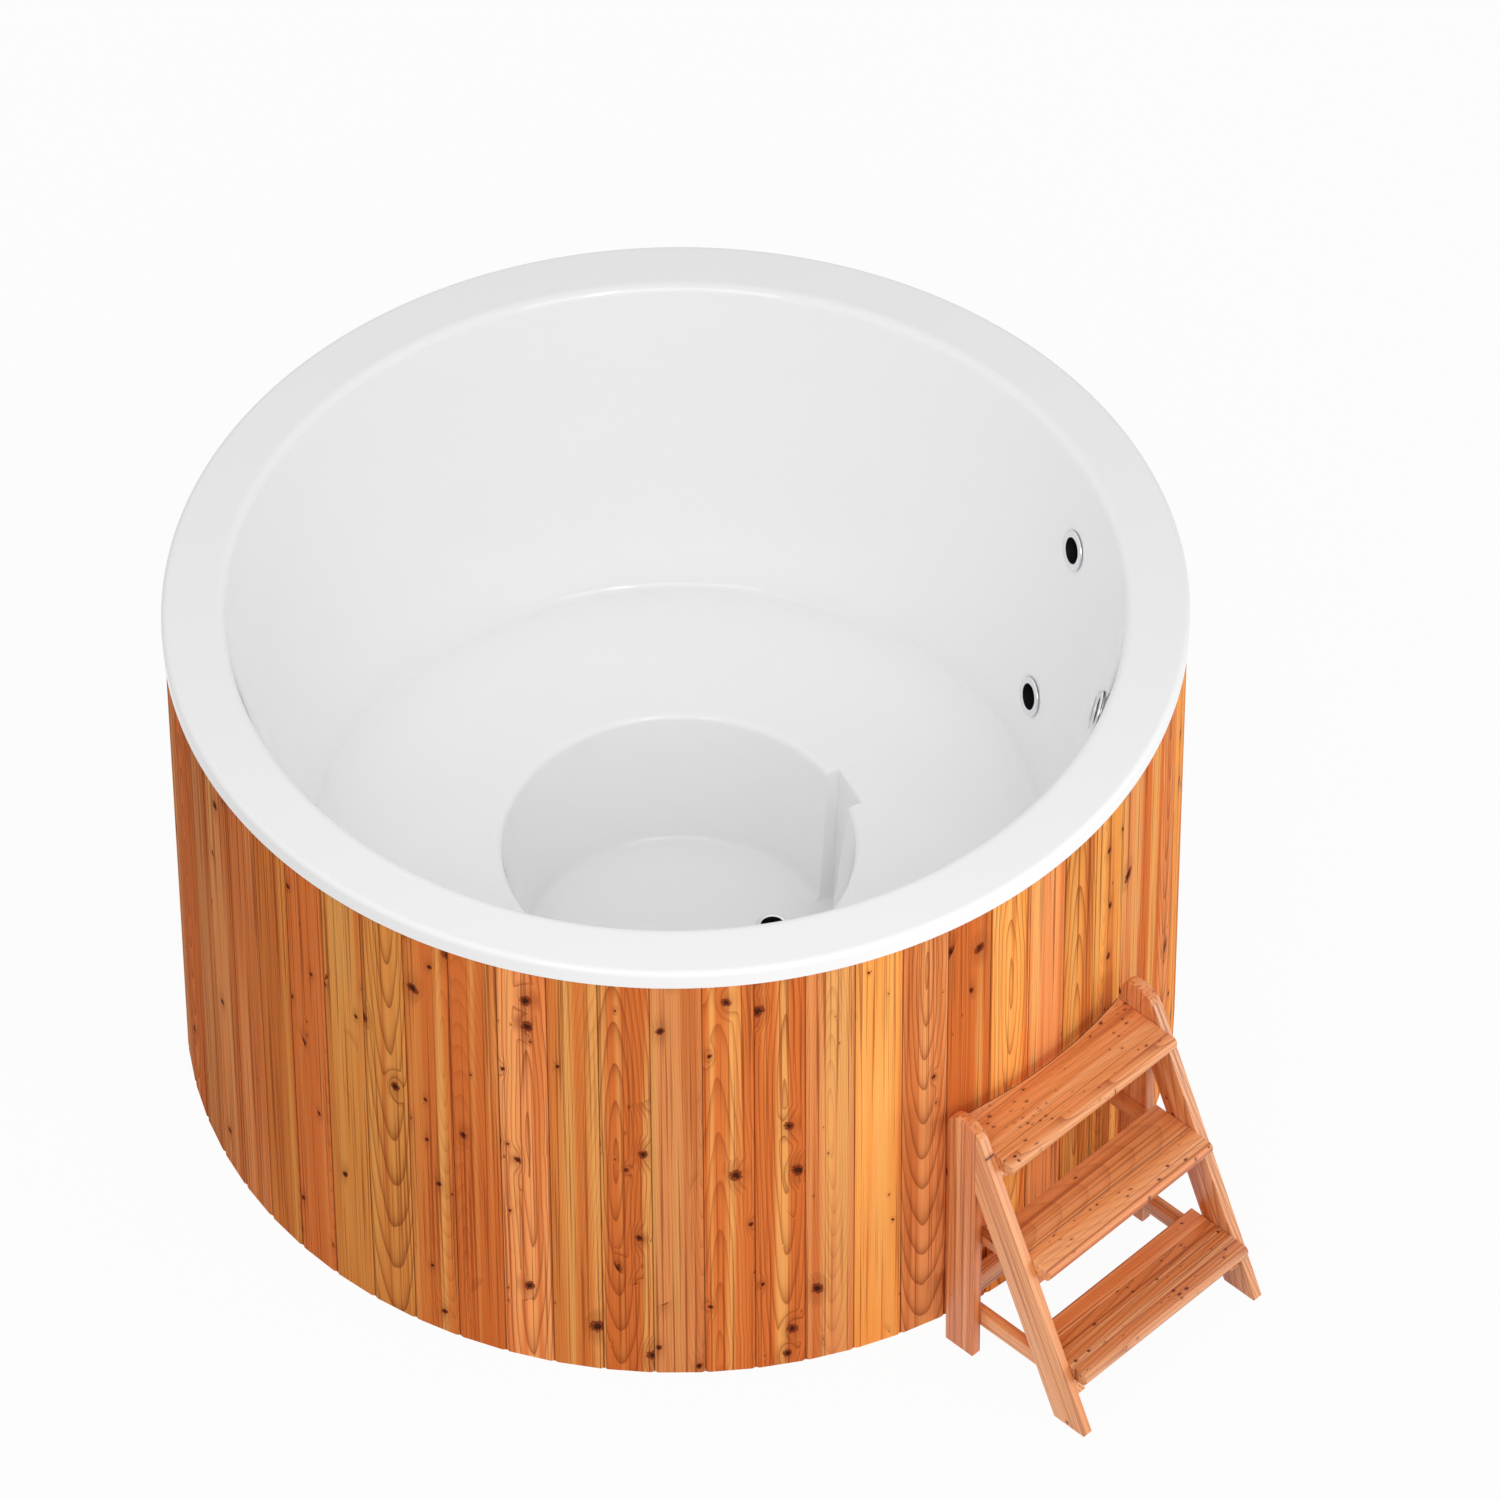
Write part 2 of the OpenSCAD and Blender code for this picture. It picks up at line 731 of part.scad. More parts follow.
module drain_elbow() {
    socket_top = under_well_z - drain_nut_t - 2 * seat_gap - drain_pipe_z;
    socket_floor = drain_tube_z - seat_gap - drain_pipe_z;
    flow_r = drain_pipe_r - drain_pipe_t;
    color("gray") at_drain() difference() {
        union() {
            cylinder(h = socket_top, r = drain_socket_r);
            sphere(r = drain_socket_r + over);
            rotate([0, 90, 0]) cylinder(h = drain_elbow_l, r = drain_elbow_r);
        }
        cylinder(h = socket_top + over, r = flow_r);
        sphere(r = flow_r + over / 2);
        rotate([0, 90, 0]) cylinder(h = drain_elbow_l + over, r = flow_r);
        translate([0, 0, socket_floor])
            cylinder(h = socket_top, r = drain_tube_r + thread_gap);
        translate([drain_elbow_l / 2, 0, 0]) rotate([0, 90, 0])
            cylinder(h = drain_elbow_l, r = drain_pipe_r + thread_gap);
    }
}

module drain_pipe() {
    start = drain_elbow_l / 2 + over;
    color("lightgray") at_drain() translate([start, 0, 0]) rotate([0, 90, 0])
        tube(drain_pipe_r, drain_pipe_t, valve_x - valve_ball_r - seat_t - over - start);
}

// Puts the origin at the middle of the valve, +X along the pipe
module at_valve() {
    at_drain() translate([valve_x, 0, 0]) children();
}

module along_pipe(start, length, r) {
    translate([start, 0, 0]) rotate([0, 90, 0]) cylinder(h = length, r = r);
}

module valve_body() {
    color("dimgray") at_valve() difference() {
        union() {
            along_pipe(-valve_half, 2 * valve_half, valve_r);
            cylinder(h = valve_r + bonnet_h, r = stem_r + valve_wall);
        }
        sphere(r = valve_ball_r + ball_gap);
        for (side = [0, 1]) mirror([side, 0, 0])
            along_pipe(valve_ball_r / 2, valve_half, drain_pipe_r + thread_gap);
        cylinder(h = valve_r + bonnet_h + over, r = stem_r + stem_gap);
    }
}

module valve_seats() {
    color("white") at_valve() difference() {
        for (side = [0, 1]) mirror([side, 0, 0])
            along_pipe(valve_ball_r / 2, valve_ball_r / 2 + seat_t, drain_pipe_r - thread_gap);
        sphere(r = valve_ball_r + seat_gap);
        along_pipe(-valve_half, 2 * valve_half, drain_pipe_r - drain_pipe_t);
    }
}

module valve_ball() {
    color("silver") at_valve() difference() {
        sphere(r = valve_ball_r);
        rotate([90, 0, 0])
            cylinder(h = 3 * valve_ball_r, r = drain_pipe_r - drain_pipe_t, center = true);
        translate([0, 0, valve_ball_r - stem_slot]) cylinder(h = valve_ball_r, r = stem_r + over);
    }
}

module valve_stem() {
    color("silver") at_valve() translate([0, 0, valve_ball_r - stem_slot + seat_gap])
        cylinder(h = stem_top - valve_ball_r + stem_slot, r = stem_r);
}

module valve_lever() {
    color("firebrick") at_drain() translate([valve_x, 0, lever_z - drain_pipe_z]) difference() {
        union() {
            cylinder(h = 2 * lever_t, r = lever_hub_r);
            translate([-lever_w / 2, -lever_l + lever_w / 2, 0])
                cube([lever_w, lever_l - lever_w / 2, lever_t]);
            translate([0, -lever_l + lever_w / 2, 0]) cylinder(h = lever_t, r = lever_w / 2);
        }
        translate([0, 0, -over]) cylinder(h = 2 * lever_t + 2 * over, r = stem_r + thread_gap);
    }
}

module drain_outlet() {
    start = valve_ball_r + seat_t + over;
    stop = valve_half + hose_stop;
    end = valve_half + stub_reach;
    color("lightgray") at_valve() rotate([0, 90, 0]) revolved([
        [drain_pipe_r, start, 0],
        [drain_pipe_r, stop, 0],
        [outlet_end_r, stop, 0],
        [outlet_end_r, end, hose_lead],
        [drain_pipe_r - drain_pipe_t, end, 0],
        [drain_pipe_r - drain_pipe_t, start, 0]
    ]);
}

// The ladder frame: x away from the tub, y along the treads
module on_ladder() {
    rotate([0, 0, ladder_az]) translate([0, ladder_side, 0]) children();
}

// A flat timber whose face is drawn in x and z, with its near face at y
module timber(path, y, thickness) {
    translate([0, y + thickness, 0]) rotate([90, 0, 0])
        linear_extrude(height = thickness) polygon(outline(path));
}

// The rear leg and the stringer are glued together and share one rounded top
module leg(y) {
    difference() {
        timber([
            [ladder_back, 0, 0],
            [toe, 0, 0],
            [front_x(leg_h), leg_h, crest_round],
            [ladder_back, leg_h, crest_back_round]
        ], y, timber_t);
        translate([leg_front - seat_gap / 2, y - over, -over])
            cube([ladder_depth, timber_t + 2 * over, leg_h + 2 * over]);
    }
}

module stringer(y) {
    difference() {
        timber([
            [rear_x(0), 0, 0],
            [toe, 0, 0],
            [front_x(leg_h), leg_h, crest_round],
            [rear_x(leg_h), leg_h, 0]
        ], y, timber_t);
        translate([leg_front + seat_gap / 2 - ladder_depth, y - over, -over])
            cube([ladder_depth, timber_t + 2 * over, leg_h + 2 * over]);
    }
}

// Dowel places: [x, z] of the dowels in the ends of one tread
function dowel_places(i) =
    let (z = tread_tops[i] - tread_t / 2)
    i == 2 ? [[ladder_back + timber_w / 3, z], [leg_front - timber_w / 4, z]]
           : [[rear_x(z) + stringer_w / 3, z], [front_x(z) - stringer_w / 4, z]];

module dowels(gap) {
    for (i = [0 : 2], place = dowel_places(i), side = [-1, 1])
        translate([place.x, side * (frame_in + dowel_end - dowel_l / 2), place.y])
            rotate([90, 0, 0]) cylinder(h = dowel_l + 2 * gap, r = dowel_r + gap, center = true);
}

module drilled_leg(side) {
    color("sandybrown") on_ladder() difference() {
        leg(side < 0 ? -ladder_w / 2 : frame_in);
        dowels(thread_gap);
    }
}

module drilled_stringer(side) {
    color("sandybrown") on_ladder() difference() {
        stringer(side < 0 ? -ladder_w / 2 : frame_in);
        dowels(thread_gap);
    }
}

module left_rear_leg() {
    drilled_leg(-1);
}

module right_rear_leg() {
    drilled_leg(1);
}

module left_stringer() {
    drilled_stringer(-1);
}

module right_stringer() {
    drilled_stringer(1);
}

// A tread: its nose is ahead of the stringers, its back is straight or curved
module tread(i) {
    top = tread_tops[i];
    nose = front_x(top) + tread_nose;
    back = i == 2 ? ladder_back - timber_w : nose - tread_depth;
    color("sandybrown") difference() {
        on_ladder() timber([
            [back, top - tread_t, 0],
            [nose, top - tread_t, nose_low_round],
            [nose, top, nose_top_round],
            [back, top, 0]
        ], -tread_half, 2 * tread_half);
        if (i == 2) translate([0, 0, top - 2 * tread_t])
            cylinder(h = 3 * tread_t, r = top_back_r, $fn = revolve_fn);
        on_ladder() dowels(thread_gap);
    }
}

module top_tread() {
    tread(2);
}

module middle_tread() {
    tread(1);
}

module bottom_tread() {
    tread(0);
}

// A cleat on the inner face of a side frame, grooved along its top. The lowest
// ones start in front of the rear rail.
module cleat(i, side, height) {
    start = i == 0 ? ladder_back + timber_t + seat_gap : ladder_back;
    high = tread_tops[i] - tread_t - seat_gap;
    inner = side * (frame_in - timber_t - seat_gap);
    y = side < 0 ? -frame_in + seat_gap : frame_in - timber_t - seat_gap;
    color("sandybrown") on_ladder() difference() {
        timber([
            [start, high - height, 0],
            [front_x(high - height) - cleat_setback, high - height, 0],
            [front_x(high) - cleat_setback, high, 0],
            [start, high, 0]
        ], y, timber_t);
        translate([ladder_back - over, inner - (side > 0 ? over : groove - over), high - groove])
            cube([ladder_depth + 2 * over, groove, 2 * groove]);
    }
}

module left_top_cleat() {
    cleat(2, -1, cleat_h);
}

module right_top_cleat() {
    cleat(2, 1, cleat_h);
}

module left_middle_cleat() {
    cleat(1, -1, cleat_h);
}

module right_middle_cleat() {
    cleat(1, 1, cleat_h);
}

module left_bottom_cleat() {
    cleat(0, -1, low_cleat_h);
}

module right_bottom_cleat() {
    cleat(0, 1, low_cleat_h);
}

// The rail between the rear legs, between the lowest cleats
module rear_rail() {
    color("sandybrown") on_ladder() difference() {
        translate([ladder_back, -frame_in + seat_gap, rail_top - rail_h])
            cube([timber_t, 2 * (frame_in - seat_gap), rail_h]);
        translate([ladder_back + timber_t - groove, -ladder_w, rail_top - groove])
            cube([2 * groove, 2 * ladder_w, 2 * groove]);
    }
}

module tread_dowels() {
    color("wheat") on_ladder() dowels(0);
}

tub_shell();
wall_insulation();
well_insulation();
well_pad();
upper_hoop();
middle_hoop();
lower_hoop();
frame_posts();
base_joists();
base_plate();
bench_plate();
bench_legs();
cladding_boards(1);  // cladding_boards_1
cladding_boards(2);  // cladding_boards_2
cladding_boards(3);  // cladding_boards_3
cladding_boards(4);  // cladding_boards_4
cladding_boards(5);  // cladding_boards_5
cladding_boards(6);  // cladding_boards_6
cladding_boards(7);  // cladding_boards_7
cladding_boards(8);  // cladding_boards_8
cladding_boards(9);  // cladding_boards_9
return_flange();
suction_flange();
overflow_flange();
port_gaskets();
port_nuts();
return_stub();
suction_stub();
overflow_elbow();
overflow_pipe();
drain_flange();
drain_gasket();
drain_nut();
drain_elbow();
drain_pipe();
valve_body();
valve_seats();
valve_ball();
valve_stem();
valve_lever();
drain_outlet();
left_rear_leg();
right_rear_leg();
left_stringer();
right_stringer();
top_tread();
middle_tread();
bottom_tread();
left_top_cleat();
right_top_cleat();
left_middle_cleat();
right_middle_cleat();
left_bottom_cleat();
right_bottom_cleat();
rear_rail();
tread_dowels();
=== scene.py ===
import itertools
import json
import math

import bmesh
import bpy
from mathutils import Matrix, Vector


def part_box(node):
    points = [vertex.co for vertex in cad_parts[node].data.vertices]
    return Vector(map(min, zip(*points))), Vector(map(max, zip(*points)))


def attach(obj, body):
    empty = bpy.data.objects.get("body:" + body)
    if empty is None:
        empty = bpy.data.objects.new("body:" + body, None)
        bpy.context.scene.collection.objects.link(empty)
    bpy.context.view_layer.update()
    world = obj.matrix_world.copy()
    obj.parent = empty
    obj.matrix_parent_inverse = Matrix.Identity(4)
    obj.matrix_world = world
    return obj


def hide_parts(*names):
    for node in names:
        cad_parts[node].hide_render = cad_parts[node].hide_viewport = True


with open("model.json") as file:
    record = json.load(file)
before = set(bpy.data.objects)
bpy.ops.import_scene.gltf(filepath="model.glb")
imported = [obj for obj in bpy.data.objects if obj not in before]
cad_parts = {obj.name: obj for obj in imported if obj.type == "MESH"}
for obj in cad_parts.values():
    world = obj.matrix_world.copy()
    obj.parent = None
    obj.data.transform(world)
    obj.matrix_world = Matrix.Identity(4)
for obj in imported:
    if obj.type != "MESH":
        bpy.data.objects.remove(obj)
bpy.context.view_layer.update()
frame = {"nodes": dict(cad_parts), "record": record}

# Sizes of the tub in metres, from the frame where the frame has them
SHELL_LOW, SHELL_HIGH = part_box("tub_shell")
SHELL_T = 0.008
RIM_R = SHELL_HIGH.x
RIM_IN_R = RIM_R - 0.109
RIM_Z = SHELL_HIGH.z
SKIRT_H = 0.037
BENCH_R = 0.648
BENCH_Z = 0.414
WALL_SLOPE = (RIM_IN_R - BENCH_R) / (RIM_Z - BENCH_Z)
WALL_TAPER = math.atan(WALL_SLOPE)
LIP_Z = 0.410
WELL_TOP_R = 0.318
WELL_FLOOR_R = 0.280
WELL_Z = SHELL_LOW.z + SHELL_T
RIM_ROUND = 0.010
LIP_ROUND = 0.019
BENCH_FILLET = 0.017
WELL_LIP_ROUND = 0.012
WELL_FILLET = 0.018
CLAD_R = RIM_R - 0.003
BOARD_COUNT = 63
BOARD_PHASE = math.radians(-2)
BOARD_PITCH = 2 * math.pi * CLAD_R / BOARD_COUNT

# The foot recess in the footwell wall
RECESS_AZ = math.radians(24)
RECESS_REACH = math.radians(26)
RECESS_TOP_BACK = 0.340
RECESS_FLOOR_BACK = 0.306
RECESS_TOP_HALF = 0.048
RECESS_FLOOR_LEFT = 0.003
RECESS_FLOOR_RIGHT = 0.058
RECESS_LIP_ROUND = 0.006
RECESS_FILLET = 0.008
RECESS_EDGE = 0.004

# The ports, each with its azimuth in degrees and its height; FRONT and END lie along a port's axis,
# counted outwards from the inner face of the wall
PORTS = {"return": (20.2, 0.877), "suction": (20.0, 0.538), "overflow": (-8.8, 0.853)}
FLANGE_FRONT = -0.005356
PORT_TUBE_END = 0.046
FLANGE_R = 0.037
PORT_BORE_R = 0.024
PORT_TUBE_R = 0.030
PORT_HOLE_R = 0.03015

# What the port rings and the drain ring share: thickness, softened edges and the reach of the painted shade
# that blackens the bore
FLANGE_T = 0.003
FLANGE_SOFT = 0.0022
BORE_SOFT = 0.0012
PAINTED_SHADE_REACH = 0.0008

# The drain
DRAIN = Vector((0.168, 0.054, 0))
DRAIN_FLANGE_R = 0.029
DRAIN_BORE_R = 0.021
DRAIN_TUBE_R = 0.024
DRAIN_HOLE_R = 0.02415
DRAIN_SEAT_Z = WELL_Z + 0.0013

# The ladder: distance away from the tub axis (d), along the treads (s) and up (z)
LADDER_AZ = math.radians(-45)
LADDER_SIDE = -0.0245
LADDER_W = 0.462
LADDER_BACK = CLAD_R + 0.008
TIMBER_T = 0.021
TIMBER_W = 0.066
LEG_H = 0.592
CREST_W = 0.065
CREST_ROUND = 0.048
CREST_BACK_ROUND = 0.028
LEAN = math.radians(24.5)
STRINGER_W = TIMBER_W / math.cos(LEAN)
TREAD_TOPS = (0.129, 0.331, 0.533)
TREAD_T = 0.030
TREAD_NOSE = 0.043
TREAD_DEPTH = 0.138
TREAD_GAP = 0.018
NOSE_LOW_ROUND = 0.016
NOSE_TOP_ROUND = 0.012
CLEAT_H = 0.021
LOW_CLEAT_H = 0.033
CLEAT_SETBACK = 0.007
RAIL_TOP = 0.128
RAIL_H = 0.047
RABBET = 0.003
SEAT_GAP = 0.0003
FRAME_ARRIS = 0.0022
TREAD_ARRIS = 0.0025
CLEAT_ARRIS = 0.0008


def srgb(red, green, blue):
    """A colour given in 0 to 255, as the linear values that sockets hold."""
    def linear(value):
        share = value / 255
        return share / 12.92 if share <= 0.04045 else ((share + 0.055) / 1.055) ** 2.4
    return (linear(red), linear(green), linear(blue), 1.0)


class Wire:
    """A socket in a finish. Sums, products and the like of wires add their Math nodes."""

    def __init__(self, finish, socket):
        self.finish = finish
        self.socket = socket

    def maths(self, operation, *values):
        return self.finish.add("ShaderNodeMath", {"operation": operation}, dict(enumerate(values)))

    def __add__(self, other):
        return self.maths("ADD", self, other)

    def __radd__(self, other):
        return self.maths("ADD", other, self)

    def __sub__(self, other):
        return self.maths("SUBTRACT", self, other)

    def __rsub__(self, other):
        return self.maths("SUBTRACT", other, self)

    def __mul__(self, other):
        return self.maths("MULTIPLY", self, other)

    def __rmul__(self, other):
        return self.maths("MULTIPLY", other, self)

    def __truediv__(self, other):
        return self.maths("DIVIDE", self, other)

    def __rtruediv__(self, other):
        return self.maths("DIVIDE", other, self)

    def __pow__(self, other):
        return self.maths("POWER", self, other)

    def __rpow__(self, other):
        return self.maths("POWER", other, self)

    def __mod__(self, other):
        return self.maths("FLOORED_MODULO", self, other)

    def __abs__(self):
        return self.maths("ABSOLUTE", self)

    def __gt__(self, other):
        return self.maths("GREATER_THAN", self, other)

    def floor(self):
        return self.maths("FLOOR", self)

    def part(self):
        return self.maths("FRACT", self)

    def root(self):
        return self.maths("SQRT", self)

    def bell(self, width):
        """1 at zero, falling off evenly to both sides over about the width."""
        share = self / width
        return math.e ** (-1 * (share * share))


class Finish:
    """A material while it is being made."""

    def __init__(self, name):
        self.material = bpy.data.materials.new(name)
        self.material.use_nodes = True
        self.tree = self.material.node_tree
        self.tree.nodes.clear()

    def add(self, kind, settings=None, values=None, out=0):
        """One node: its settings, then the values or wires of its sockets, and the wire that leaves it."""
        node = self.tree.nodes.new(kind)
        for name, value in (settings or {}).items():
            setattr(node, name, value)
        for name, value in (values or {}).items():
            if isinstance(value, Wire):
                self.tree.links.new(value.socket, node.inputs[name])
            else:
                node.inputs[name].default_value = value
        return Wire(self, node.outputs[out])

    def split(self, wire):
        """The three parts of a vector or a colour."""
        first = self.add("ShaderNodeSeparateXYZ", values={0: wire})
        return [Wire(self, socket) for socket in first.socket.node.outputs]

    def vector(self, x, y, z):
        return self.add("ShaderNodeCombineXYZ", values={0: x, 1: y, 2: z})

    def place(self):
        """The point in the tub's own frame."""
        return self.add("ShaderNodeTexCoord", out="Object")

    def dice(self, seed, throw):
        """Three numbers from 0 to 1 that belong to a seed."""
        colour = self.add("ShaderNodeTexWhiteNoise", {"noise_dimensions": "2D"},
                          {"Vector": self.vector(seed, throw, 0)}, "Color")
        return self.split(colour)

    def noise(self, place, scale=1.0, detail=2.0, rough=0.5):
        return self.add("ShaderNodeTexNoise", None,
                        {"Vector": place, "Scale": scale, "Detail": detail, "Roughness": rough}, "Fac")

    def cells(self, place, scale):
        """Distance to the nearest of many scattered points, in cells."""
        return self.add("ShaderNodeTexVoronoi", None, {"Vector": place, "Scale": scale}, "Distance")

    def scatter(self, x, y, cell):
        """Points scattered over a plane: the way to the nearest one, its three dice and how near it is."""
        point = self.add("ShaderNodeTexVoronoi", {"voronoi_dimensions": "2D"},
                         {"Vector": self.vector(x, y, 0), "Scale": 1 / cell}, "Position")
        dice = self.split(Wire(self, point.socket.node.outputs["Color"]))
        there = self.split(point)
        reach = Wire(self, point.socket.node.outputs["Distance"])
        return x - there[0], y - there[1], dice, 1 - self.step(reach, 0.28, 0.46)

    def step(self, value, low, high):
        """0 below low, 1 above high and smooth in between."""
        return self.add("ShaderNodeMapRange", {"interpolation_type": "SMOOTHSTEP"},
                        {"Value": value, "From Min": low, "From Max": high})

    def mix(self, share, first, second):
        """A colour that goes from the first to the second as the share goes from 0 to 1."""
        return self.add("ShaderNodeMix", {"data_type": "RGBA"}, {0: share, 6: first, 7: second}, 2)

    def scaled(self, colour, factor):
        """A colour made stronger or weaker as a whole."""
        if not isinstance(colour, Wire):
            colour = colour[:3]
        return self.add("ShaderNodeVectorMath", {"operation": "SCALE"}, {0: colour, "Scale": factor})

    def close(self, shader):
        """Sends the shader to the output of the material."""
        output = self.tree.nodes.new("ShaderNodeOutputMaterial")
        self.tree.links.new(shader.socket, output.inputs["Surface"])
        return self.material

    def surface(self, values, height=None, depth=0.0005):
        """Closes the finish with one shader; height from 0 to 1 becomes relief of that depth in metres."""
        values = dict(values)
        if height is not None:
            values["Normal"] = self.add("ShaderNodeBump", None,
                                        {"Strength": 1.0, "Distance": depth, "Height": height})
        return self.close(self.add("ShaderNodeBsdfPrincipled", None, values))


# The colours of the timber: three kinds of log, the late wood of a ring and the palest streaks
BOARD_TONES = {"first": srgb(249, 162, 80), "second": srgb(215, 114, 54), "third": srgb(243, 154, 92),
               "late": srgb(138, 58, 24), "pale": srgb(250, 186, 106)}
# The ladder's tones are its wood's colours made paler in green and blue as painted sheen
LADDER_TONES_WITH_PAINTED_SHEEN = {"first": srgb(230, 151, 92), "second": srgb(215, 129, 73), "third": srgb(235, 162, 106),
                "late": srgb(146, 66, 36), "pale": srgb(243, 180, 128)}
KNOT_RING = srgb(120, 46, 22)
KNOT_HEART = srgb(58, 28, 20)
SEAM_DARK = srgb(70, 30, 15)

# Kinds of knot: the cell that holds one, how it is drawn out along the board, how many of the cells hold
# one in a board with few and with many, the smallest and largest size, and how closely they gather
BOARD_KNOTS = [
    dict(cell=0.066, stretch=0.5, few=0.15, many=0.9, small=0.004, large=0.013, patchy=9),
    dict(cell=0.024, stretch=0.7, few=0.01, many=0.06, small=0.001, large=0.0028, patchy=9),
]
LADDER_KNOTS = [dict(cell=0.012, stretch=0.7, few=0.04, many=0.30, small=0.0008, large=0.0036, patchy=26)]


def knots(finish, across, along, seed, kind):
    """Knots scattered over a board: their dark hearts, the rings round them and the grain that swirls."""
    stretch, patchy = kind["stretch"], kind["patchy"]
    lot = finish.step(finish.dice(seed, kind["cell"])[0], 0.45, 0.55)
    density = kind["few"] + (kind["many"] - kind["few"]) * lot
    patch = finish.noise(finish.vector(across * patchy, seed * 2.3, along * patchy / 2), detail=0)
    dx, dy, dice, near = finish.scatter(across + seed * 1.37, along * stretch + seed * 0.61, kind["cell"])
    dz = dy / stretch
    size = kind["small"] + (kind["large"] - kind["small"]) * dice[0] * dice[0]
    present = near * (density * finish.step(patch, 0.38, 0.58) > dice[1])
    # A knot leans to one side, its outline is jagged, and the grain parts round it along the board
    jagged = finish.noise(finish.vector(across * 300, seed, along * 180), detail=2) - 0.5
    leaning = dx + dz * (dice[2] - 0.5) * 0.6
    reach = (leaning * leaning + dz * dz * 0.7).root() + jagged * size * 1.1
    heart = present * (1 - finish.step(reach / size, 0.40, 0.66))
    ring = present * (1 - finish.step(reach / size, 0.90, 1.15))
    long_reach = (dx * dx + dz * dz * 0.16).root()
    swirl = present * (long_reach / size).bell(1.8)
    return heart, ring, swirl


def timber_figure(finish, across, depth, along, seed, kinds, figured=0.3):
    """Rings, streaks and knots of one timber; figured is the share of timbers with arched rings."""
    cut = finish.dice(seed, 1)
    log = finish.dice(seed, 2)
    arched = finish.step(cut[0], 1 - figured, 1.04 - figured)
    hearts = rounds = swirls = 0
    for kind in kinds:
        heart, ring, swirl = knots(finish, across, along, seed, kind)
        hearts = heart + hearts
        rounds = ring + rounds
        swirls = swirl + swirls
    # How far a point lies from the heart of the tree, which is to one side and leans away
    drift = finish.noise(finish.vector(seed * 3.7, 0.3, along * 1.6), detail=2) - 0.5
    ripple = finish.noise(finish.vector(across * 9, seed, along * 5), detail=2) - 0.5
    aside = (cut[1] - 0.5) * (0.26 - 0.20 * arched)
    crown = log[1] * 1.4 - 0.2
    lean = 0.045 + 0.055 * log[2]
    x = across + aside + drift * 0.030 + ripple * 0.006
    rise = (along - crown) * lean + depth
    blunt_tip = 0.00002
    reach = (x * x + rise * rise + blunt_tip).root()
    # Rings, wider in arched timber and bent round the knots, each with its late wood at the outside
    pitch = 0.0045 + 0.0035 * arched
    rings = (reach + ripple * 0.004) / pitch + swirls * 1.9
    wobble = finish.noise(finish.vector(across * 45, depth * 45, along * 6), detail=2) * 0.3
    ring = (rings + wobble).part()
    late = (ring ** 4) * (1 - finish.step(ring, 0.95, 1.0))
    # Bands, streaks and fibres along the timber
    wide = finish.noise(finish.vector(across * 38 + seed * 3.1, depth * 30, along * 0.5), detail=1)
    streak = finish.noise(finish.vector(across * 240 + seed * 5.7, depth * 120, along * 1.6), detail=2)
    fibre = finish.noise(finish.vector(across * 420, depth * 330, along * 6 + seed), detail=2, rough=0.6)
    return {"arched": arched, "late": late, "wide": wide, "streak": streak, "fibre": fibre,
            "heart": hearts, "round": rounds, "swirl": swirls, "tone": log[0], "shade": cut[2]}


def timber_surface(finish, figure, tones, shine, polish, seam=0):
    """The oiled finish that shows a figure."""
    tone = finish.mix(finish.step(figure["tone"], 0.30, 0.42), tones["first"], tones["second"])
    toned = finish.mix(finish.step(figure["tone"], 0.64, 0.76), tone, tones["third"])
    streaked = finish.mix(finish.step(figure["wide"], 0.48, 0.66) * 0.6, toned, tones["pale"])
    reddened = finish.mix(finish.step(figure["wide"], 0.50, 0.34) * 0.75, streaked, tones["second"])
    lined = finish.mix(finish.step(figure["streak"], 0.48, 0.32) * 0.66, reddened, tones["late"])
    ringed = finish.mix(figure["late"] * (0.30 + 0.50 * figure["arched"]), lined, tones["late"])
    haloed = finish.mix(figure["swirl"] * 0.34, ringed, KNOT_RING)
    circled = finish.mix(figure["round"] * 0.85, haloed, KNOT_RING)
    knotted = finish.mix(figure["heart"] * 0.92, circled, KNOT_HEART)
    joined = finish.mix(seam, knotted, SEAM_DARK)
    grain = 0.84 + 0.20 * figure["fibre"] + 0.16 * figure["streak"]
    strength = grain * (0.88 + 0.28 * figure["shade"])
    height = figure["fibre"] * 0.5 + (1 - figure["late"]) * 0.5
    return finish.surface({
        "Base Color": finish.scaled(joined, strength),
        "Roughness": polish + 0.16 * figure["fibre"],
        "Specular IOR Level": shine,
    }, height, 0.0003)


def board_wood():
    """The cladding: the board is found from the direction, so that each has its own figure."""
    finish = Finish("board_wood")
    x, y, z = finish.split(finish.place())
    turn = x.maths("ARCTAN2", y, x)
    count = (turn - BOARD_PHASE) * (BOARD_COUNT / (2 * math.pi))
    board = count.floor() % BOARD_COUNT
    across = (count.part() - 0.5) * BOARD_PITCH
    depth = (x * x + y * y).root() - CLAD_R
    figure = timber_figure(finish, across, depth, z, board + 0.5, BOARD_KNOTS)
    seam = 1 - finish.step(BOARD_PITCH / 2 - abs(across), 0.0005, 0.0018)
    # Painted shade: the boards to the left are made darker and redder, as if the light fell from the right
    painted_left_shade = finish.step(x / -CLAD_R, 0.1, 0.95)
    figure["shade"] = figure["shade"] - painted_left_shade * 0.45
    figure["wide"] = figure["wide"] - painted_left_shade * 0.07
    return timber_surface(finish, figure, BOARD_TONES, 0.02, 0.60, seam * 0.6)


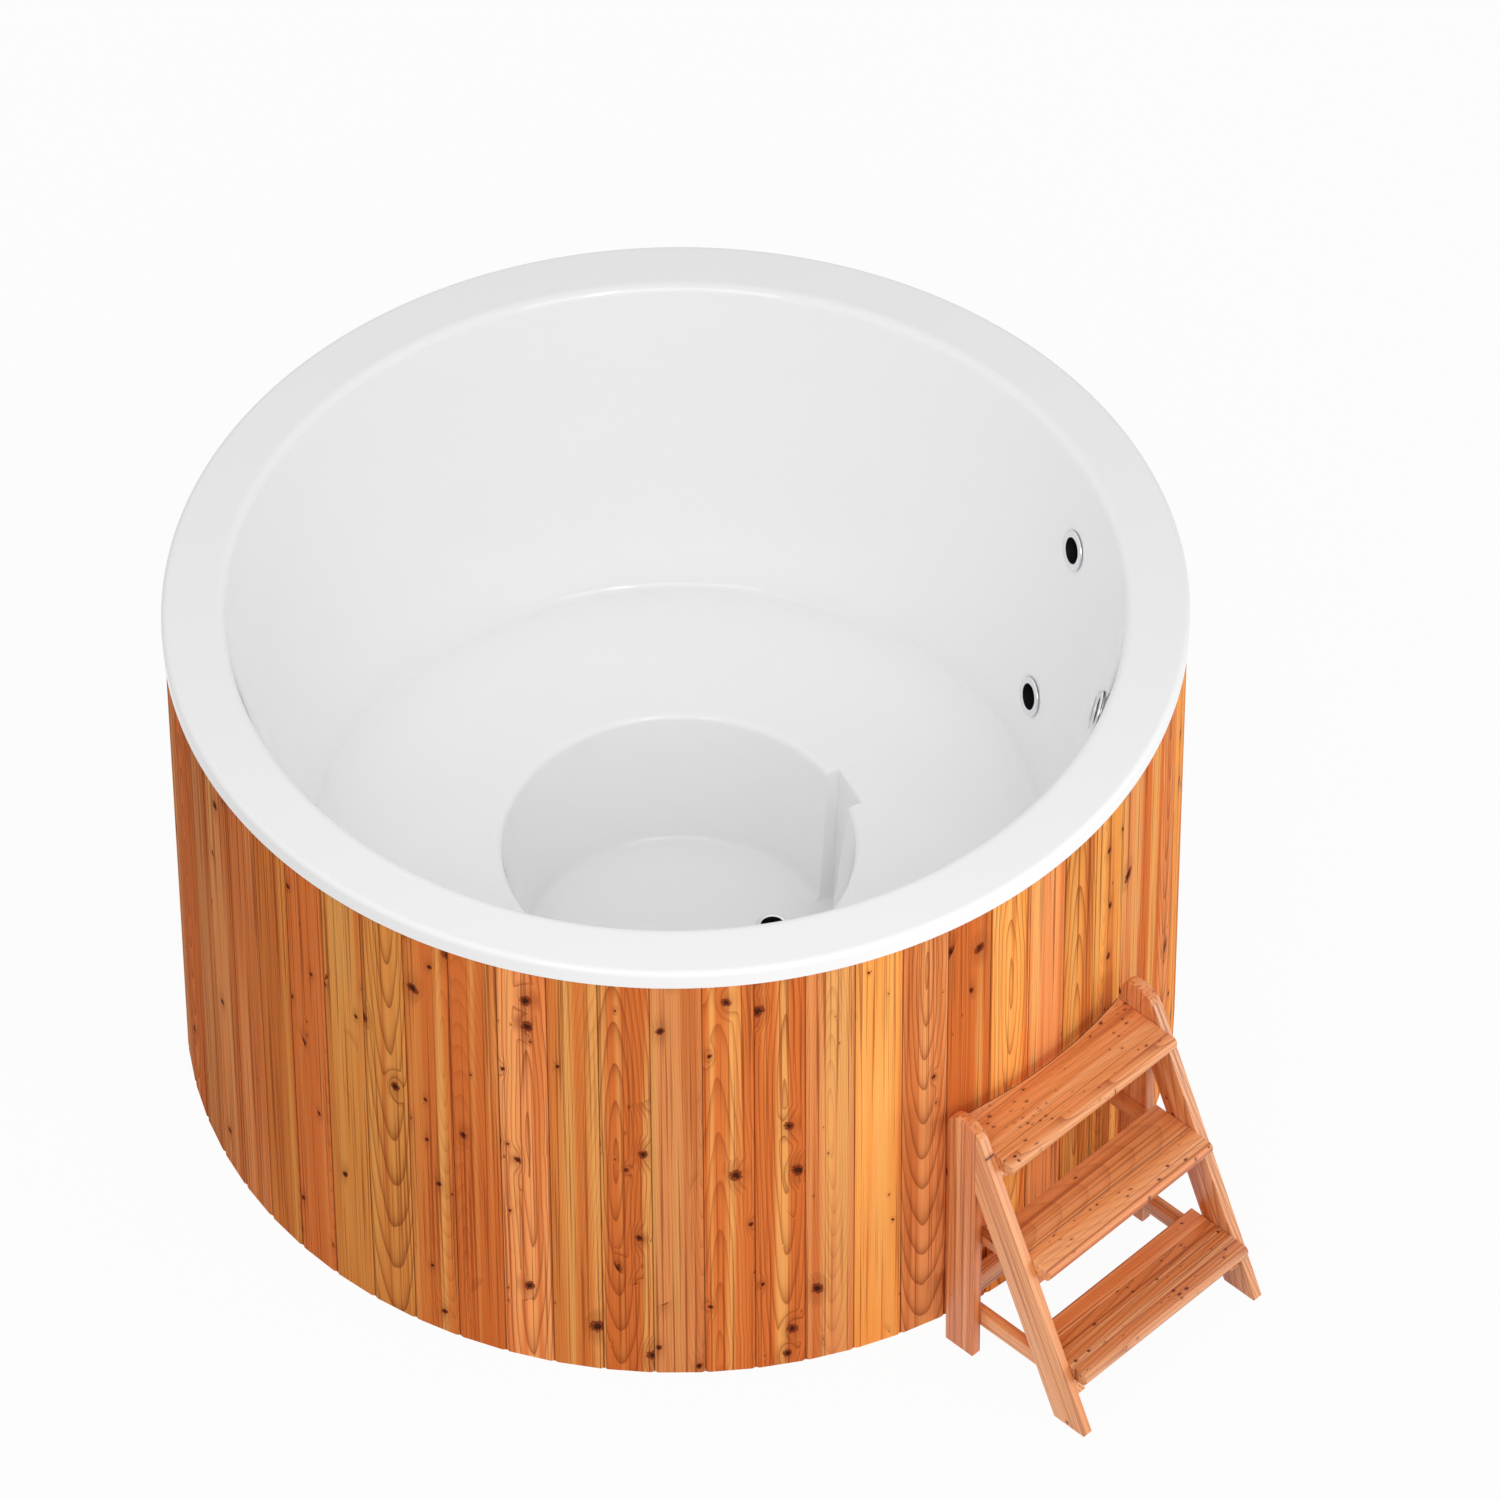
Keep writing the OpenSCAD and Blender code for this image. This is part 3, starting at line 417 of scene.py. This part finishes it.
def ladder_wood():
    """The ladder: each timber carries its grain directions and its number in its mesh."""
    finish = Finish("ladder_wood")
    across, depth, along = finish.split(finish.add("ShaderNodeAttribute", {"attribute_name": "grain"},
                                                   out="Vector"))
    timber = finish.add("ShaderNodeAttribute", {"attribute_name": "timber"}, out="Fac")
    strip = across > 0
    figure = timber_figure(finish, across, depth, along, timber + strip * 0.5, LADDER_KNOTS)
    # The glue line between the two strips of a timber
    figure["late"] = figure["late"] + across.bell(0.0006) * 0.6
    # The ladder's tones carry painted sheen in their paler green and blue
    return timber_surface(finish, figure, LADDER_TONES_WITH_PAINTED_SHEEN, 0.5, 0.24)


def plain_timber(name, pale, dark):
    """Unfinished timber of the hidden frame."""
    finish = Finish(name)
    x, y, z = finish.split(finish.place())
    fibre = finish.noise(finish.vector(x * 90, y * 90, z * 6), detail=3)
    coarse = finish.noise(finish.place(), 9.0, 2)
    layers = finish.step(abs((z * 330).part() - 0.5), 0.36, 0.46)
    tone = finish.mix(fibre * 0.7 + coarse * 0.3, pale, dark)
    return finish.surface({"Base Color": finish.mix(layers * 0.25, tone, dark),
                           "Roughness": 0.62 + 0.2 * fibre}, fibre, 0.0004)


def moulded(name, colour, roughness, grain=400.0, relief=0.00008, shift=0.06, metallic=0.0, coat=0.0):
    """Moulded, cast or turned pieces: an even colour with a little mottle and a fine skin."""
    finish = Finish(name)
    mottle = finish.noise(finish.place(), 14.0, 3)
    skin = finish.noise(finish.place(), grain, 2)
    shade = (1 - shift / 2) + shift * mottle
    return finish.surface({
        "Base Color": finish.scaled(colour, shade),
        "Roughness": roughness * (0.85 + 0.3 * skin),
        "Metallic": metallic,
        "Coat Weight": coat,
        "Coat Roughness": 0.08,
    }, skin, relief)


def foam():
    """Rigid insulation with its open cells."""
    finish = Finish("foam")
    cell = finish.cells(finish.place(), 170.0)
    tone = finish.mix(cell, srgb(226, 208, 150), srgb(196, 172, 108))
    return finish.surface({"Base Color": tone, "Roughness": 0.8 + 0.1 * cell}, cell, 0.0006)


def brushed_steel():
    """Turned steel with fine rings of tool marks."""
    finish = Finish("valve_steel")
    x, y, z = finish.split(finish.place())
    marks = finish.noise(finish.vector(x * 40, y * 40, z * 2200), detail=2)
    return finish.surface({"Base Color": finish.mix(marks, srgb(176, 178, 180), srgb(206, 208, 210)),
                           "Metallic": 1.0, "Roughness": 0.22 + 0.2 * marks}, marks, 0.00003)


def shell_gloss():
    """Cast acrylic: a white gloss whose skin is very slightly uneven."""
    finish = Finish("shell_white")
    mottle = finish.noise(finish.place(), 2.2, 2)
    skin = finish.noise(finish.place(), 26.0, 1)
    return finish.surface({
        "Base Color": finish.mix(mottle, srgb(251, 251, 251), srgb(249, 249, 250)),
        "Roughness": 0.015 + 0.015 * mottle,
        "IOR": 1.49,
    }, skin, 0.00006)


def polished_ring():
    """The polished ring of a port or of the drain."""
    finish = Finish("port_metal")
    marks = finish.noise(finish.place(), 900.0, 2)
    return finish.surface({"Base Color": finish.mix(marks, srgb(222, 223, 226), srgb(238, 239, 241)),
                           "Metallic": 0.9, "Roughness": 0.10 + 0.08 * marks}, marks, 0.00002)


def finishes():
    """One finish for each material slot of the record."""
    return {
        "shell_white": shell_gloss(),
        "foam": foam(),
        "plywood": plain_timber("plywood", srgb(222, 190, 142), srgb(190, 150, 100)),
        "framing": plain_timber("framing", srgb(226, 196, 146), srgb(198, 158, 108)),
        "board_wood": board_wood(),
        "ladder_wood": ladder_wood(),
        "port_metal": polished_ring(),
        "gasket": moulded("gasket", srgb(38, 38, 40), 0.6),
        "fitting": moulded("fitting", srgb(96, 99, 103), 0.38),
        "pipe": moulded("pipe", srgb(196, 198, 200), 0.34),
        "valve_seat": moulded("valve_seat", srgb(236, 236, 232), 0.4),
        "valve_steel": brushed_steel(),
        "lever_red": moulded("lever_red", srgb(176, 34, 28), 0.28, coat=0.4),
        "dowel_wood": plain_timber("dowel_wood", srgb(230, 202, 156), srgb(206, 172, 120)),
        # Painted shade: the black inside the bores of the ports and the drain
        "bore_black": moulded("bore_black", srgb(14, 14, 15), 0.5),
    }


def new_piece(name, mesh, slot, body, *replaced):
    """Puts a mesh in the scene as a piece that rides on a body, in place of CAD nodes."""
    piece = bpy.data.objects.new(name, mesh)
    bpy.context.scene.collection.objects.link(piece)
    mesh.materials.append(FINISHES[slot])
    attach(piece, body)
    if replaced:
        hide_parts(*replaced)
    return piece


def smooth(mesh, sharp_over=35):
    """Smooth shading that keeps edges over an angle in degrees sharp."""
    mesh.shade_smooth()
    mesh.set_sharp_from_angle(angle=math.radians(sharp_over))


def applied(piece):
    """Makes the modifiers of a piece part of its mesh."""
    graph = bpy.context.evaluated_depsgraph_get()
    mesh = bpy.data.meshes.new_from_object(piece.evaluated_get(graph))
    piece.modifiers.clear()
    piece.data = mesh
    return mesh


def rounded(path, steps=7, hold=0.0015):
    """Points of an outline whose corners are (x, y, radius), with a point just off each end of an arc."""
    points = []
    for i, (x, y, radius) in enumerate(path):
        corner = Vector((x, y))
        if radius == 0:
            points.append(corner)
            continue
        before = (Vector(path[i - 1][:2]) - corner).normalized()
        after = (Vector(path[(i + 1) % len(path)][:2]) - corner).normalized()
        half = before.angle(after) / 2
        middle = corner + (before + after).normalized() * radius / math.sin(half)
        first = corner + before * radius / math.tan(half)
        last = corner + after * radius / math.tan(half)
        start = first - middle
        turn = start.angle_signed(last - middle)
        arc = [middle + Matrix.Rotation(-turn * step / steps, 2) @ start for step in range(steps + 1)]
        points += [first + before * hold] * bool(hold) + arc + [last + after * hold] * bool(hold)
    return points


def spaced(points, longest, like=None):
    """The same open line with its long stretches cut into shorter ones, as many as in the line like."""
    like = like or points
    line = [points[0]]
    for i in range(len(points) - 1):
        cuts = max(1, math.ceil((like[i + 1] - like[i]).length / longest))
        line += [points[i].lerp(points[i + 1], cut / cuts) for cut in range(1, cuts + 1)]
    return line


def on_profile(profile, index, angle):
    return profile[index].x, profile[index].y, angle


def lathe(name, profile, angles, placed=on_profile):
    """A mesh turned from (radius, height) points; placed gives the radius, height and angle of each."""
    mesh = bmesh.new()
    columns = []
    poles = {}
    for turn in angles:
        column = []
        for index, (radius, height) in enumerate(profile):
            if radius < 1e-6:
                if index not in poles:
                    poles[index] = mesh.verts.new((0, 0, height))
                column.append(poles[index])
                continue
            radius, height, angle = placed(profile, index, turn)
            column.append(mesh.verts.new((radius * math.cos(angle), radius * math.sin(angle), height)))
        columns.append(column)
    for a, b in zip(columns, columns[1:] + columns[:1]):
        for i in range(len(profile)):
            j = (i + 1) % len(profile)
            corners = []
            for corner in (a[i], b[i], b[j], a[j]):
                if corner not in corners:
                    corners.append(corner)
            if len(corners) > 2:
                mesh.faces.new(corners)
    bmesh.ops.recalc_face_normals(mesh, faces=mesh.faces)
    made = bpy.data.meshes.new(name)
    mesh.to_mesh(made)
    mesh.free()
    return made


def turns(steps):
    """The angles of even steps all the way round."""
    return [2 * math.pi * i / steps for i in range(steps)]


def wall_r(z):
    """The radius of the wall's inner face at a height."""
    return BENCH_R + (z - BENCH_Z) * WALL_SLOPE


def smoothstep(value, low, high):
    share = min(1, max(0, (value - low) / (high - low)))
    return share * share * (3 - 2 * share)


def recess_place(plain, set_back, angle):
    """Where a point of the shell lies at an angle, with the footwell wall set back in the foot recess."""
    across = (angle - RECESS_AZ + math.pi) % (2 * math.pi) - math.pi
    if abs(across) > RECESS_REACH:
        return plain.x, plain.y, angle
    share = (min(LIP_Z, max(WELL_Z, plain.y)) - WELL_Z) / (LIP_Z - WELL_Z)
    back = RECESS_FLOOR_BACK + (RECESS_TOP_BACK - RECESS_FLOOR_BACK) * share
    left = (RECESS_FLOOR_LEFT + (RECESS_TOP_HALF - RECESS_FLOOR_LEFT) * share) / back
    right = (RECESS_FLOOR_RIGHT + (RECESS_TOP_HALF - RECESS_FLOOR_RIGHT) * share) / back
    edge = RECESS_TOP_HALF / RECESS_TOP_BACK
    far = math.tan(RECESS_REACH)
    beside = math.tan(across)
    soft = RECESS_EDGE / 2 / RECESS_TOP_BACK
    inside = smoothstep(beside, -edge - soft, -edge + soft)
    inside *= 1 - smoothstep(beside, edge - soft, edge + soft)
    if beside > edge:
        beside = left + (beside - edge) / (far - edge) * (far - left)
    elif beside < -edge:
        beside = -right + (beside + edge) / (far - edge) * (far - right)
    else:
        beside = -right + (beside + edge) / (2 * edge) * (left + right)
    across = math.atan(beside)
    push = set_back.x - plain.x
    flat = min(1, push / (RECESS_TOP_BACK - WELL_TOP_R)) * set_back.x * (1 / math.cos(across) - 1)
    return plain.x + inside * (push + flat), plain.y + inside * (set_back.y - plain.y), RECESS_AZ + across


def port_place(name):
    """Puts +Z along a port's axis, out of the tub, from the inner face of the wall."""
    azimuth, z = PORTS[name]
    return Matrix.Rotation(math.radians(azimuth), 4, "Z") \
        @ Matrix.Translation((wall_r(z), 0, z)) \
        @ Matrix.Rotation(math.pi / 2 + WALL_TAPER, 4, "Y")


def shell_path(floor_r, lip_r, floor_round, lip_round):
    """The outline of the shell from the middle of the footwell to the rim and back underneath."""
    under = SHELL_T
    wall_out = under / math.cos(WALL_TAPER)
    slope = (lip_r - floor_r) / (LIP_Z - WELL_Z)
    well_out = under / math.cos(math.atan(slope))
    under_rim = RIM_Z - under
    under_bench = LIP_Z - under
    under_well = WELL_Z - under
    return [
        (0, WELL_Z, 0),
        (floor_r, WELL_Z, floor_round),
        (lip_r, LIP_Z, lip_round),
        (BENCH_R, BENCH_Z, BENCH_FILLET),
        (RIM_IN_R, RIM_Z, LIP_ROUND),
        (RIM_R, RIM_Z, RIM_ROUND),
        (RIM_R, RIM_Z - SKIRT_H, 0.002),
        (RIM_R - under, RIM_Z - SKIRT_H, 0.002),
        (RIM_R - under, under_rim, 0.003),
        (wall_r(under_rim) + wall_out, under_rim, LIP_ROUND),
        (wall_r(under_bench) + wall_out, under_bench + 0.004, BENCH_FILLET + under),
        (lip_r - under * slope + well_out, under_bench, 0.012),
        (floor_r - under * slope + well_out, under_well, floor_round + under),
        (0, under_well, 0),
    ]


def tub_shell():
    """The moulded shell: one skin, turned, with the foot recess set back and the holes punched."""
    plain = rounded(shell_path(WELL_FLOOR_R, WELL_TOP_R, WELL_FILLET, WELL_LIP_ROUND))
    set_back = rounded(shell_path(RECESS_FLOOR_BACK, RECESS_TOP_BACK, RECESS_FILLET, RECESS_LIP_ROUND))
    longest = 0.012
    profile = spaced(plain, longest)
    recess = spaced(set_back, longest, plain)

    def placed(points, index, angle):
        return recess_place(points[index], recess[index], angle)

    # Coarse steps round the shell, and fine ones across the recess at its two upright edges
    edge = math.atan(RECESS_TOP_HALF / RECESS_TOP_BACK)
    fine = math.radians(0.12)
    angles = [RECESS_AZ + RECESS_REACH + (2 * math.pi - 2 * RECESS_REACH) * i / 270 for i in range(271)]
    beside = fine - RECESS_REACH
    while beside < RECESS_REACH:
        angles.append(RECESS_AZ + 2 * math.pi + beside)
        near = min(abs(beside - edge), abs(beside + edge)) < math.radians(1)
        beside += fine if near else math.radians(0.7)
    mesh = lathe("tub_shell_moulding", profile, angles, placed)
    shell = new_piece("tub_shell_moulding", mesh, "shell_white", "tub", "tub_shell")
    holes = [(PORT_HOLE_R, port_place(name)) for name in PORTS]
    holes.append((DRAIN_HOLE_R, Matrix.Translation(DRAIN + Vector((0, 0, WELL_Z)))))
    punches = bmesh.new()
    for radius, place in holes:
        bmesh.ops.create_cone(punches, cap_ends=True, segments=64, radius1=radius, radius2=radius,
                              depth=0.05, matrix=place)
    tool_mesh = bpy.data.meshes.new("punches")
    punches.to_mesh(tool_mesh)
    punches.free()
    tool = bpy.data.objects.new("punches", tool_mesh)
    bpy.context.scene.collection.objects.link(tool)
    punched = shell.modifiers.new("holes", "BOOLEAN")
    punched.operation = "DIFFERENCE"
    punched.object = tool
    mesh = applied(shell)
    bpy.data.objects.remove(tool)
    smooth(mesh)


def flange(name, profile, place, node, painted_shade_inside):
    """A turned flange: a polished ring, painted black inside of a radius as the shade in its bore."""
    mesh = lathe(name, profile, turns(96))
    mesh.transform(place)
    piece = new_piece(name, mesh, "port_metal", "tub", node)
    mesh.materials.append(FINISHES["bore_black"])
    back = place.inverted()
    for face in mesh.polygons:
        centre = back @ face.center
        if math.hypot(centre.x, centre.y) < painted_shade_inside:
            face.material_index = 1
    smooth(mesh, 50)
    return piece


def port_flanges():
    """The rings of the three ports, from the bore round the face and back along the tube."""
    front = FLANGE_FRONT
    path = [
        (PORT_BORE_R, front + 0.0005, 0.0004),
        (PORT_BORE_R + 0.0018, front, BORE_SOFT),
        (FLANGE_R, front, FLANGE_SOFT),
        (FLANGE_R, front + FLANGE_T, 0.0003),
        (PORT_TUBE_R, front + FLANGE_T, 0),
        (PORT_TUBE_R, PORT_TUBE_END, 0),
        (PORT_BORE_R, PORT_TUBE_END, 0),
    ]
    for name in PORTS:
        # The overflow shows its metal right through, and the bores of the other two are painted black as
        # shade
        painted_shade_inside = 0 if name == "overflow" else PORT_BORE_R + PAINTED_SHADE_REACH
        flange(name + "_port_ring", rounded(path, 5, 0.0001), port_place(name), name + "_flange",
               painted_shade_inside)


def drain_flange():
    """The ring in the footwell floor, with its tube underneath."""
    top = DRAIN_SEAT_Z + FLANGE_T
    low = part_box("drain_flange")[0].z
    path = [
        (DRAIN_BORE_R, low, 0),
        (DRAIN_TUBE_R, low, 0),
        (DRAIN_TUBE_R, DRAIN_SEAT_Z, 0),
        (DRAIN_FLANGE_R, DRAIN_SEAT_Z, 0.0003),
        (DRAIN_FLANGE_R, top, FLANGE_SOFT),
        (DRAIN_BORE_R, top - 0.001, BORE_SOFT),
    ]
    # The drain's bore is painted black as shade
    flange("drain_ring", rounded(path, 5, 0.0001), Matrix.Translation(DRAIN), "drain_flange",
           DRAIN_BORE_R + PAINTED_SHADE_REACH)


# Where the ladder stands, its frames' corners, and the grain directions across, through and along
LADDER = Matrix.Rotation(LADDER_AZ, 4, "Z") @ Matrix.Translation((0, LADDER_SIDE, 0))
LEG_FRONT = LADDER_BACK + TIMBER_W
TOE = LADDER_BACK + CREST_W + LEG_H * math.tan(LEAN)
CROTCH_Z = (TOE - STRINGER_W - LEG_FRONT) / math.tan(LEAN)
FRAME_IN = LADDER_W / 2 - TIMBER_T
ALONG = {
    "up": (Vector((1, 0, 0)), Vector((0, 1, 0)), Vector((0, 0, 1))),
    "leaning": (Vector((math.cos(LEAN), 0, math.sin(LEAN))), Vector((0, 1, 0)),
                Vector((-math.sin(LEAN), 0, math.cos(LEAN)))),
    "sideways": (Vector((1, 0, 0)), Vector((0, 0, 1)), Vector((0, 1, 0))),
    "outwards": (Vector((0, 1, 0)), Vector((0, 0, 1)), Vector((1, 0, 0))),
}
TIMBER_NUMBERS = itertools.count(1)


def front_x(z):
    """How far out the front of the stringers lies at a height."""
    return TOE - z * math.tan(LEAN)


def cut_at(outline, limit, keep):
    """The part of an outline that is nearer than a limit (keep = 1) or further (keep = -1)."""
    part = []
    for a, b in zip(outline, outline[1:] + outline[:1]):
        if keep * (limit - a.x) >= 0:
            part.append(a)
        if (a.x - limit) * (b.x - limit) < 0:
            part.append(a.lerp(b, (limit - a.x) / (b.x - a.x)))
    return part


def timber(name, rows, arris, along, glue_line=None, keep=None):
    """A ladder timber through rows of points, with its edges rounded and its grain in its mesh."""
    mesh = bmesh.new()
    made = [[mesh.verts.new(point) for point in row] for row in rows]
    for a, b in zip(made, made[1:]):
        for i in range(len(a)):
            j = (i + 1) % len(a)
            mesh.faces.new((a[i], a[j], b[j], b[i]))
    mesh.faces.new(made[0])
    mesh.faces.new(reversed(made[-1]))
    bmesh.ops.recalc_face_normals(mesh, faces=mesh.faces)
    edges = []
    for edge in mesh.edges:
        ends = [vert.co.copy() for vert in edge.verts]
        on_floor = all(abs(end.z) < 1e-6 for end in ends)
        if edge.calc_face_angle() > math.radians(38) and not on_floor and not (keep and keep(*ends)):
            edges.append(edge)
    bmesh.ops.bevel(mesh, geom=edges, offset=arris, offset_type="OFFSET", segments=4, profile=0.5,
                    affect="EDGES", clamp_overlap=True)
    shape = bpy.data.meshes.new(name)
    mesh.to_mesh(shape)
    mesh.free()
    across, depth, length = ALONG[along]
    points = [vert.co for vert in shape.vertices]
    if glue_line is None:
        glue_line = max(point.dot(across) for point in points) + 0.02
    places = [(point.dot(across) - glue_line, point.dot(depth), point.dot(length)) for point in points]
    grain = shape.attributes.new("grain", "FLOAT_VECTOR", "POINT")
    grain.data.foreach_set("vector", [value for place in places for value in place])
    number = shape.attributes.new("timber", "FLOAT", "POINT")
    number.data.foreach_set("value", [next(TIMBER_NUMBERS)] * len(places))
    shape.transform(LADDER)
    smooth(shape, 30)
    return new_piece(name + "_timber", shape, "ladder_wood", "ladder", name)


def side_frames():
    """The rear legs and the leaning stringers, glued together under one rounded crest."""
    seam = SEAT_GAP / 2
    crest = (front_x(LEG_H), LEG_H, CREST_ROUND)
    whole = rounded([(LADDER_BACK, 0, 0), (TOE, 0, 0), crest, (LADDER_BACK, LEG_H, CREST_BACK_ROUND)], 9, 0)
    leaning = rounded([(TOE - STRINGER_W, 0, 0), (TOE, 0, 0), crest,
                       (front_x(LEG_H) - STRINGER_W, LEG_H, 0)], 9, 0)
    leg = cut_at(whole, LEG_FRONT - seam, 1)
    stringer = cut_at(leaning, LEG_FRONT + seam, -1)

    def on_seam(a, b):
        return all(abs(end.x - LEG_FRONT) < 0.001 and end.z > CROTCH_Z - 0.001 for end in (a, b))

    for side, sign in (("left", -1), ("right", 1)):
        near = sign * LADDER_W / 2
        far = sign * FRAME_IN
        for part, outline, along in (("rear_leg", leg, "up"), ("stringer", stringer, "leaning")):
            rows = [[(d, s, z) for d, z in outline] for s in (near, far)]
            timber(f"{side}_{part}", rows, FRAME_ARRIS, along, keep=on_seam)


def painted_gap_shadow(mesh, within, above):
    """Painted shadow of the gap behind the hollow: the faces along its upper edge, within a radius and above
    a height, turn black.
    """
    mesh.materials.append(FINISHES["gasket"])
    for face in mesh.polygons:
        if math.hypot(face.center.x, face.center.y) < within and face.center.z > above:
            face.material_index = 1


def treads():
    """The treads: bullnosed in front, the top one hollowed at the back to follow the tub."""
    half = FRAME_IN - SEAT_GAP
    hollow_r = CLAD_R + TREAD_GAP
    names = ("bottom_tread", "middle_tread", "top_tread")
    # How far out each tread's two strips are glued together
    glue_lines = (1.125, 1.076, 1.016)
    for name, top, glue in zip(names, TREAD_TOPS, glue_lines):
        nose = front_x(top) + TREAD_NOSE
        hollow = name == "top_tread"
        stations = [-half + 2 * half * i / 24 for i in range(25)] if hollow else [-half, half]
        rows = []
        for s in stations:
            back = nose - TREAD_DEPTH
            if hollow:
                back = math.sqrt(hollow_r ** 2 - (LADDER_SIDE + s) ** 2)
            section = rounded([
                (back, top - TREAD_T, 0),
                (nose, top - TREAD_T, NOSE_LOW_ROUND),
                (nose, top, NOSE_TOP_ROUND),
                (back, top, 0),
            ], 6, 0)
            rows.append([(d, s, z) for d, z in section])
        tread = timber(name, rows, TREAD_ARRIS, "sideways", glue)
        if hollow:
            # The upper edge of the top tread's hollow is painted black as the shadow in the gap behind it
            painted_gap_shadow(tread.data, hollow_r + TREAD_ARRIS + 0.0003, top - 0.006)


def cleats_and_rail():
    """The cleats under the treads and the rail between the rear legs, with a rabbet along each."""
    inner = FRAME_IN - TIMBER_T - SEAT_GAP
    outer = FRAME_IN - SEAT_GAP
    for i, level in enumerate(("bottom", "middle", "top")):
        high = TREAD_TOPS[i] - TREAD_T - SEAT_GAP
        low = high - (LOW_CLEAT_H if i == 0 else CLEAT_H)
        start = LADDER_BACK + (TIMBER_T + SEAT_GAP if i == 0 else 0)
        for side, sign in (("left", -1), ("right", 1)):
            section = [(outer, low), (outer, high), (inner + RABBET, high), (inner + RABBET, high - RABBET),
                       (inner, high - RABBET), (inner, low)]
            rows = [[(start, sign * s, z) for s, z in section],
                    [(front_x(z) - CLEAT_SETBACK, sign * s, z) for s, z in section]]
            timber(f"{side}_{level}_cleat", rows, CLEAT_ARRIS, "outwards")
    back, front = LADDER_BACK, LADDER_BACK + TIMBER_T
    low = RAIL_TOP - RAIL_H
    section = [(back, low), (front, low), (front, RAIL_TOP - RABBET), (front - RABBET, RAIL_TOP - RABBET),
               (front - RABBET, RAIL_TOP), (back, RAIL_TOP)]
    rows = [[(d, s, z) for d, z in section] for s in (-outer, outer)]
    timber("rear_rail", rows, CLEAT_ARRIS, "sideways")


def dress_nodes():
    """Gives every CAD node the finish of its slot."""
    for part in frame["record"]["subparts"]:
        node = frame["nodes"][part["node"]]
        node.data.materials.clear()
        node.data.materials.append(FINISHES[part["material_slot"]])


# The studio
SKY_LIGHT = 0.63
FLOOR_WHITE = 0.95


def grey(value):
    """A grey as the linear values that sockets hold."""
    return (value, value, value, 1)


def seen(finish):
    """1 for what the camera sees directly, in gloss or through something clear."""
    path = finish.add("ShaderNodeLightPath")
    sockets = path.socket.node.outputs
    camera, glossy, clear = (Wire(finish, sockets[name]) for name in
                             ("Is Camera Ray", "Is Glossy Ray", "Is Transmission Ray"))
    return camera.maths("MAXIMUM", camera, camera.maths("MAXIMUM", glossy, clear))


def floor():
    """A plain pale floor that keeps the shadow."""
    finish = Finish("pale_floor")
    speckle = finish.noise(finish.place(), 60.0, 2)
    tone = finish.mix(speckle, grey(0.71), grey(0.74))
    matt = finish.add("ShaderNodeBsdfDiffuse", None, {"Color": tone})
    white = finish.add("ShaderNodeEmission", None, {"Color": grey(1), "Strength": 1.0})
    finish.close(finish.add("ShaderNodeMixShader", None, {0: seen(finish) * FLOOR_WHITE, 1: matt, 2: white}))
    mesh = bmesh.new()
    bmesh.ops.create_grid(mesh, x_segments=4, y_segments=4, size=40)
    plane = bpy.data.meshes.new("studio_floor")
    mesh.to_mesh(plane)
    mesh.free()
    plane.materials.append(finish.material)
    ground = bpy.data.objects.new("studio_floor", plane)
    bpy.context.scene.collection.objects.link(ground)


class Sky(Finish):
    """The world, made with the same nodes as a finish."""

    def __init__(self):
        self.world = bpy.data.worlds.new("studio")
        bpy.context.scene.world = self.world
        self.world.use_nodes = True
        self.tree = self.world.node_tree
        self.tree.nodes.clear()


def sky():
    """White to the eye and in gloss, and a soft even light on everything else."""
    finish = Sky()
    soft = finish.add("ShaderNodeBackground", None, {"Color": grey(1), "Strength": SKY_LIGHT})
    white = finish.add("ShaderNodeBackground", None, {"Color": grey(1), "Strength": 1.0})
    both = finish.add("ShaderNodeMixShader", None, {0: seen(finish), 1: soft, 2: white})
    output = finish.tree.nodes.new("ShaderNodeOutputWorld")
    finish.tree.links.new(both.socket, output.inputs["Surface"])


def panel(name, place, aim, width, height, power):
    """A soft box at a place, turned to an aim, with its power in watts."""
    light = bpy.data.lights.new(name, "AREA")
    light.shape = "RECTANGLE"
    light.size = width
    light.size_y = height
    light.energy = power
    lamp = bpy.data.objects.new(name, light)
    lamp.location = place
    lamp.rotation_euler = (Vector(aim) - Vector(place)).to_track_quat("-Z", "Y").to_euler()
    bpy.context.scene.collection.objects.link(lamp)


def lights():
    """A low key from the right, and tall windows behind the camera that show in the gloss of the shell."""
    panel("key_right", (3.3, -1.5, 0.55), (0, 0, 0.5), 1.8, 1.0, 20)
    panel("window_left", (-1.36, -4.15, 4.45), (0, 0, 0.6), 1.6, 2.9, 32)
    panel("window_right", (1.22, -4.20, 4.45), (0, 0, 0.6), 3.5, 2.9, 60)
    panel("window_strip", (1.30, -3.95, 4.2), (0, 0, 0.6), 0.5, 2.8, 17)


def camera():
    """The photograph's viewpoint: its place, its directions and its lens."""
    place = (0, -13.600, 14.666)
    yaw, pitch, roll = 0.00946, 0.80054, -0.00564
    ahead = Vector((math.sin(yaw) * math.cos(pitch), math.cos(yaw) * math.cos(pitch), -math.sin(pitch)))
    level = Vector((math.cos(yaw), -math.sin(yaw), 0))
    above = level.cross(ahead)
    right = level * math.cos(roll) + above * math.sin(roll)
    up = above * math.cos(roll) - level * math.sin(roll)
    view = bpy.data.cameras.new("photo_camera")
    view.lens = 264.24
    view.sensor_width = 36
    view.clip_end = 100
    eye = bpy.data.objects.new("photo_camera", view)
    eye.matrix_world = Matrix.Translation(place) @ Matrix((right, up, -ahead)).transposed().to_4x4()
    bpy.context.scene.collection.objects.link(eye)
    bpy.context.scene.camera = eye


FINISHES = finishes()
dress_nodes()
tub_shell()
port_flanges()
drain_flange()
side_frames()
treads()
cleats_and_rail()
floor()
sky()
lights()
camera()
bpy.context.scene.view_settings.view_transform = "Standard"
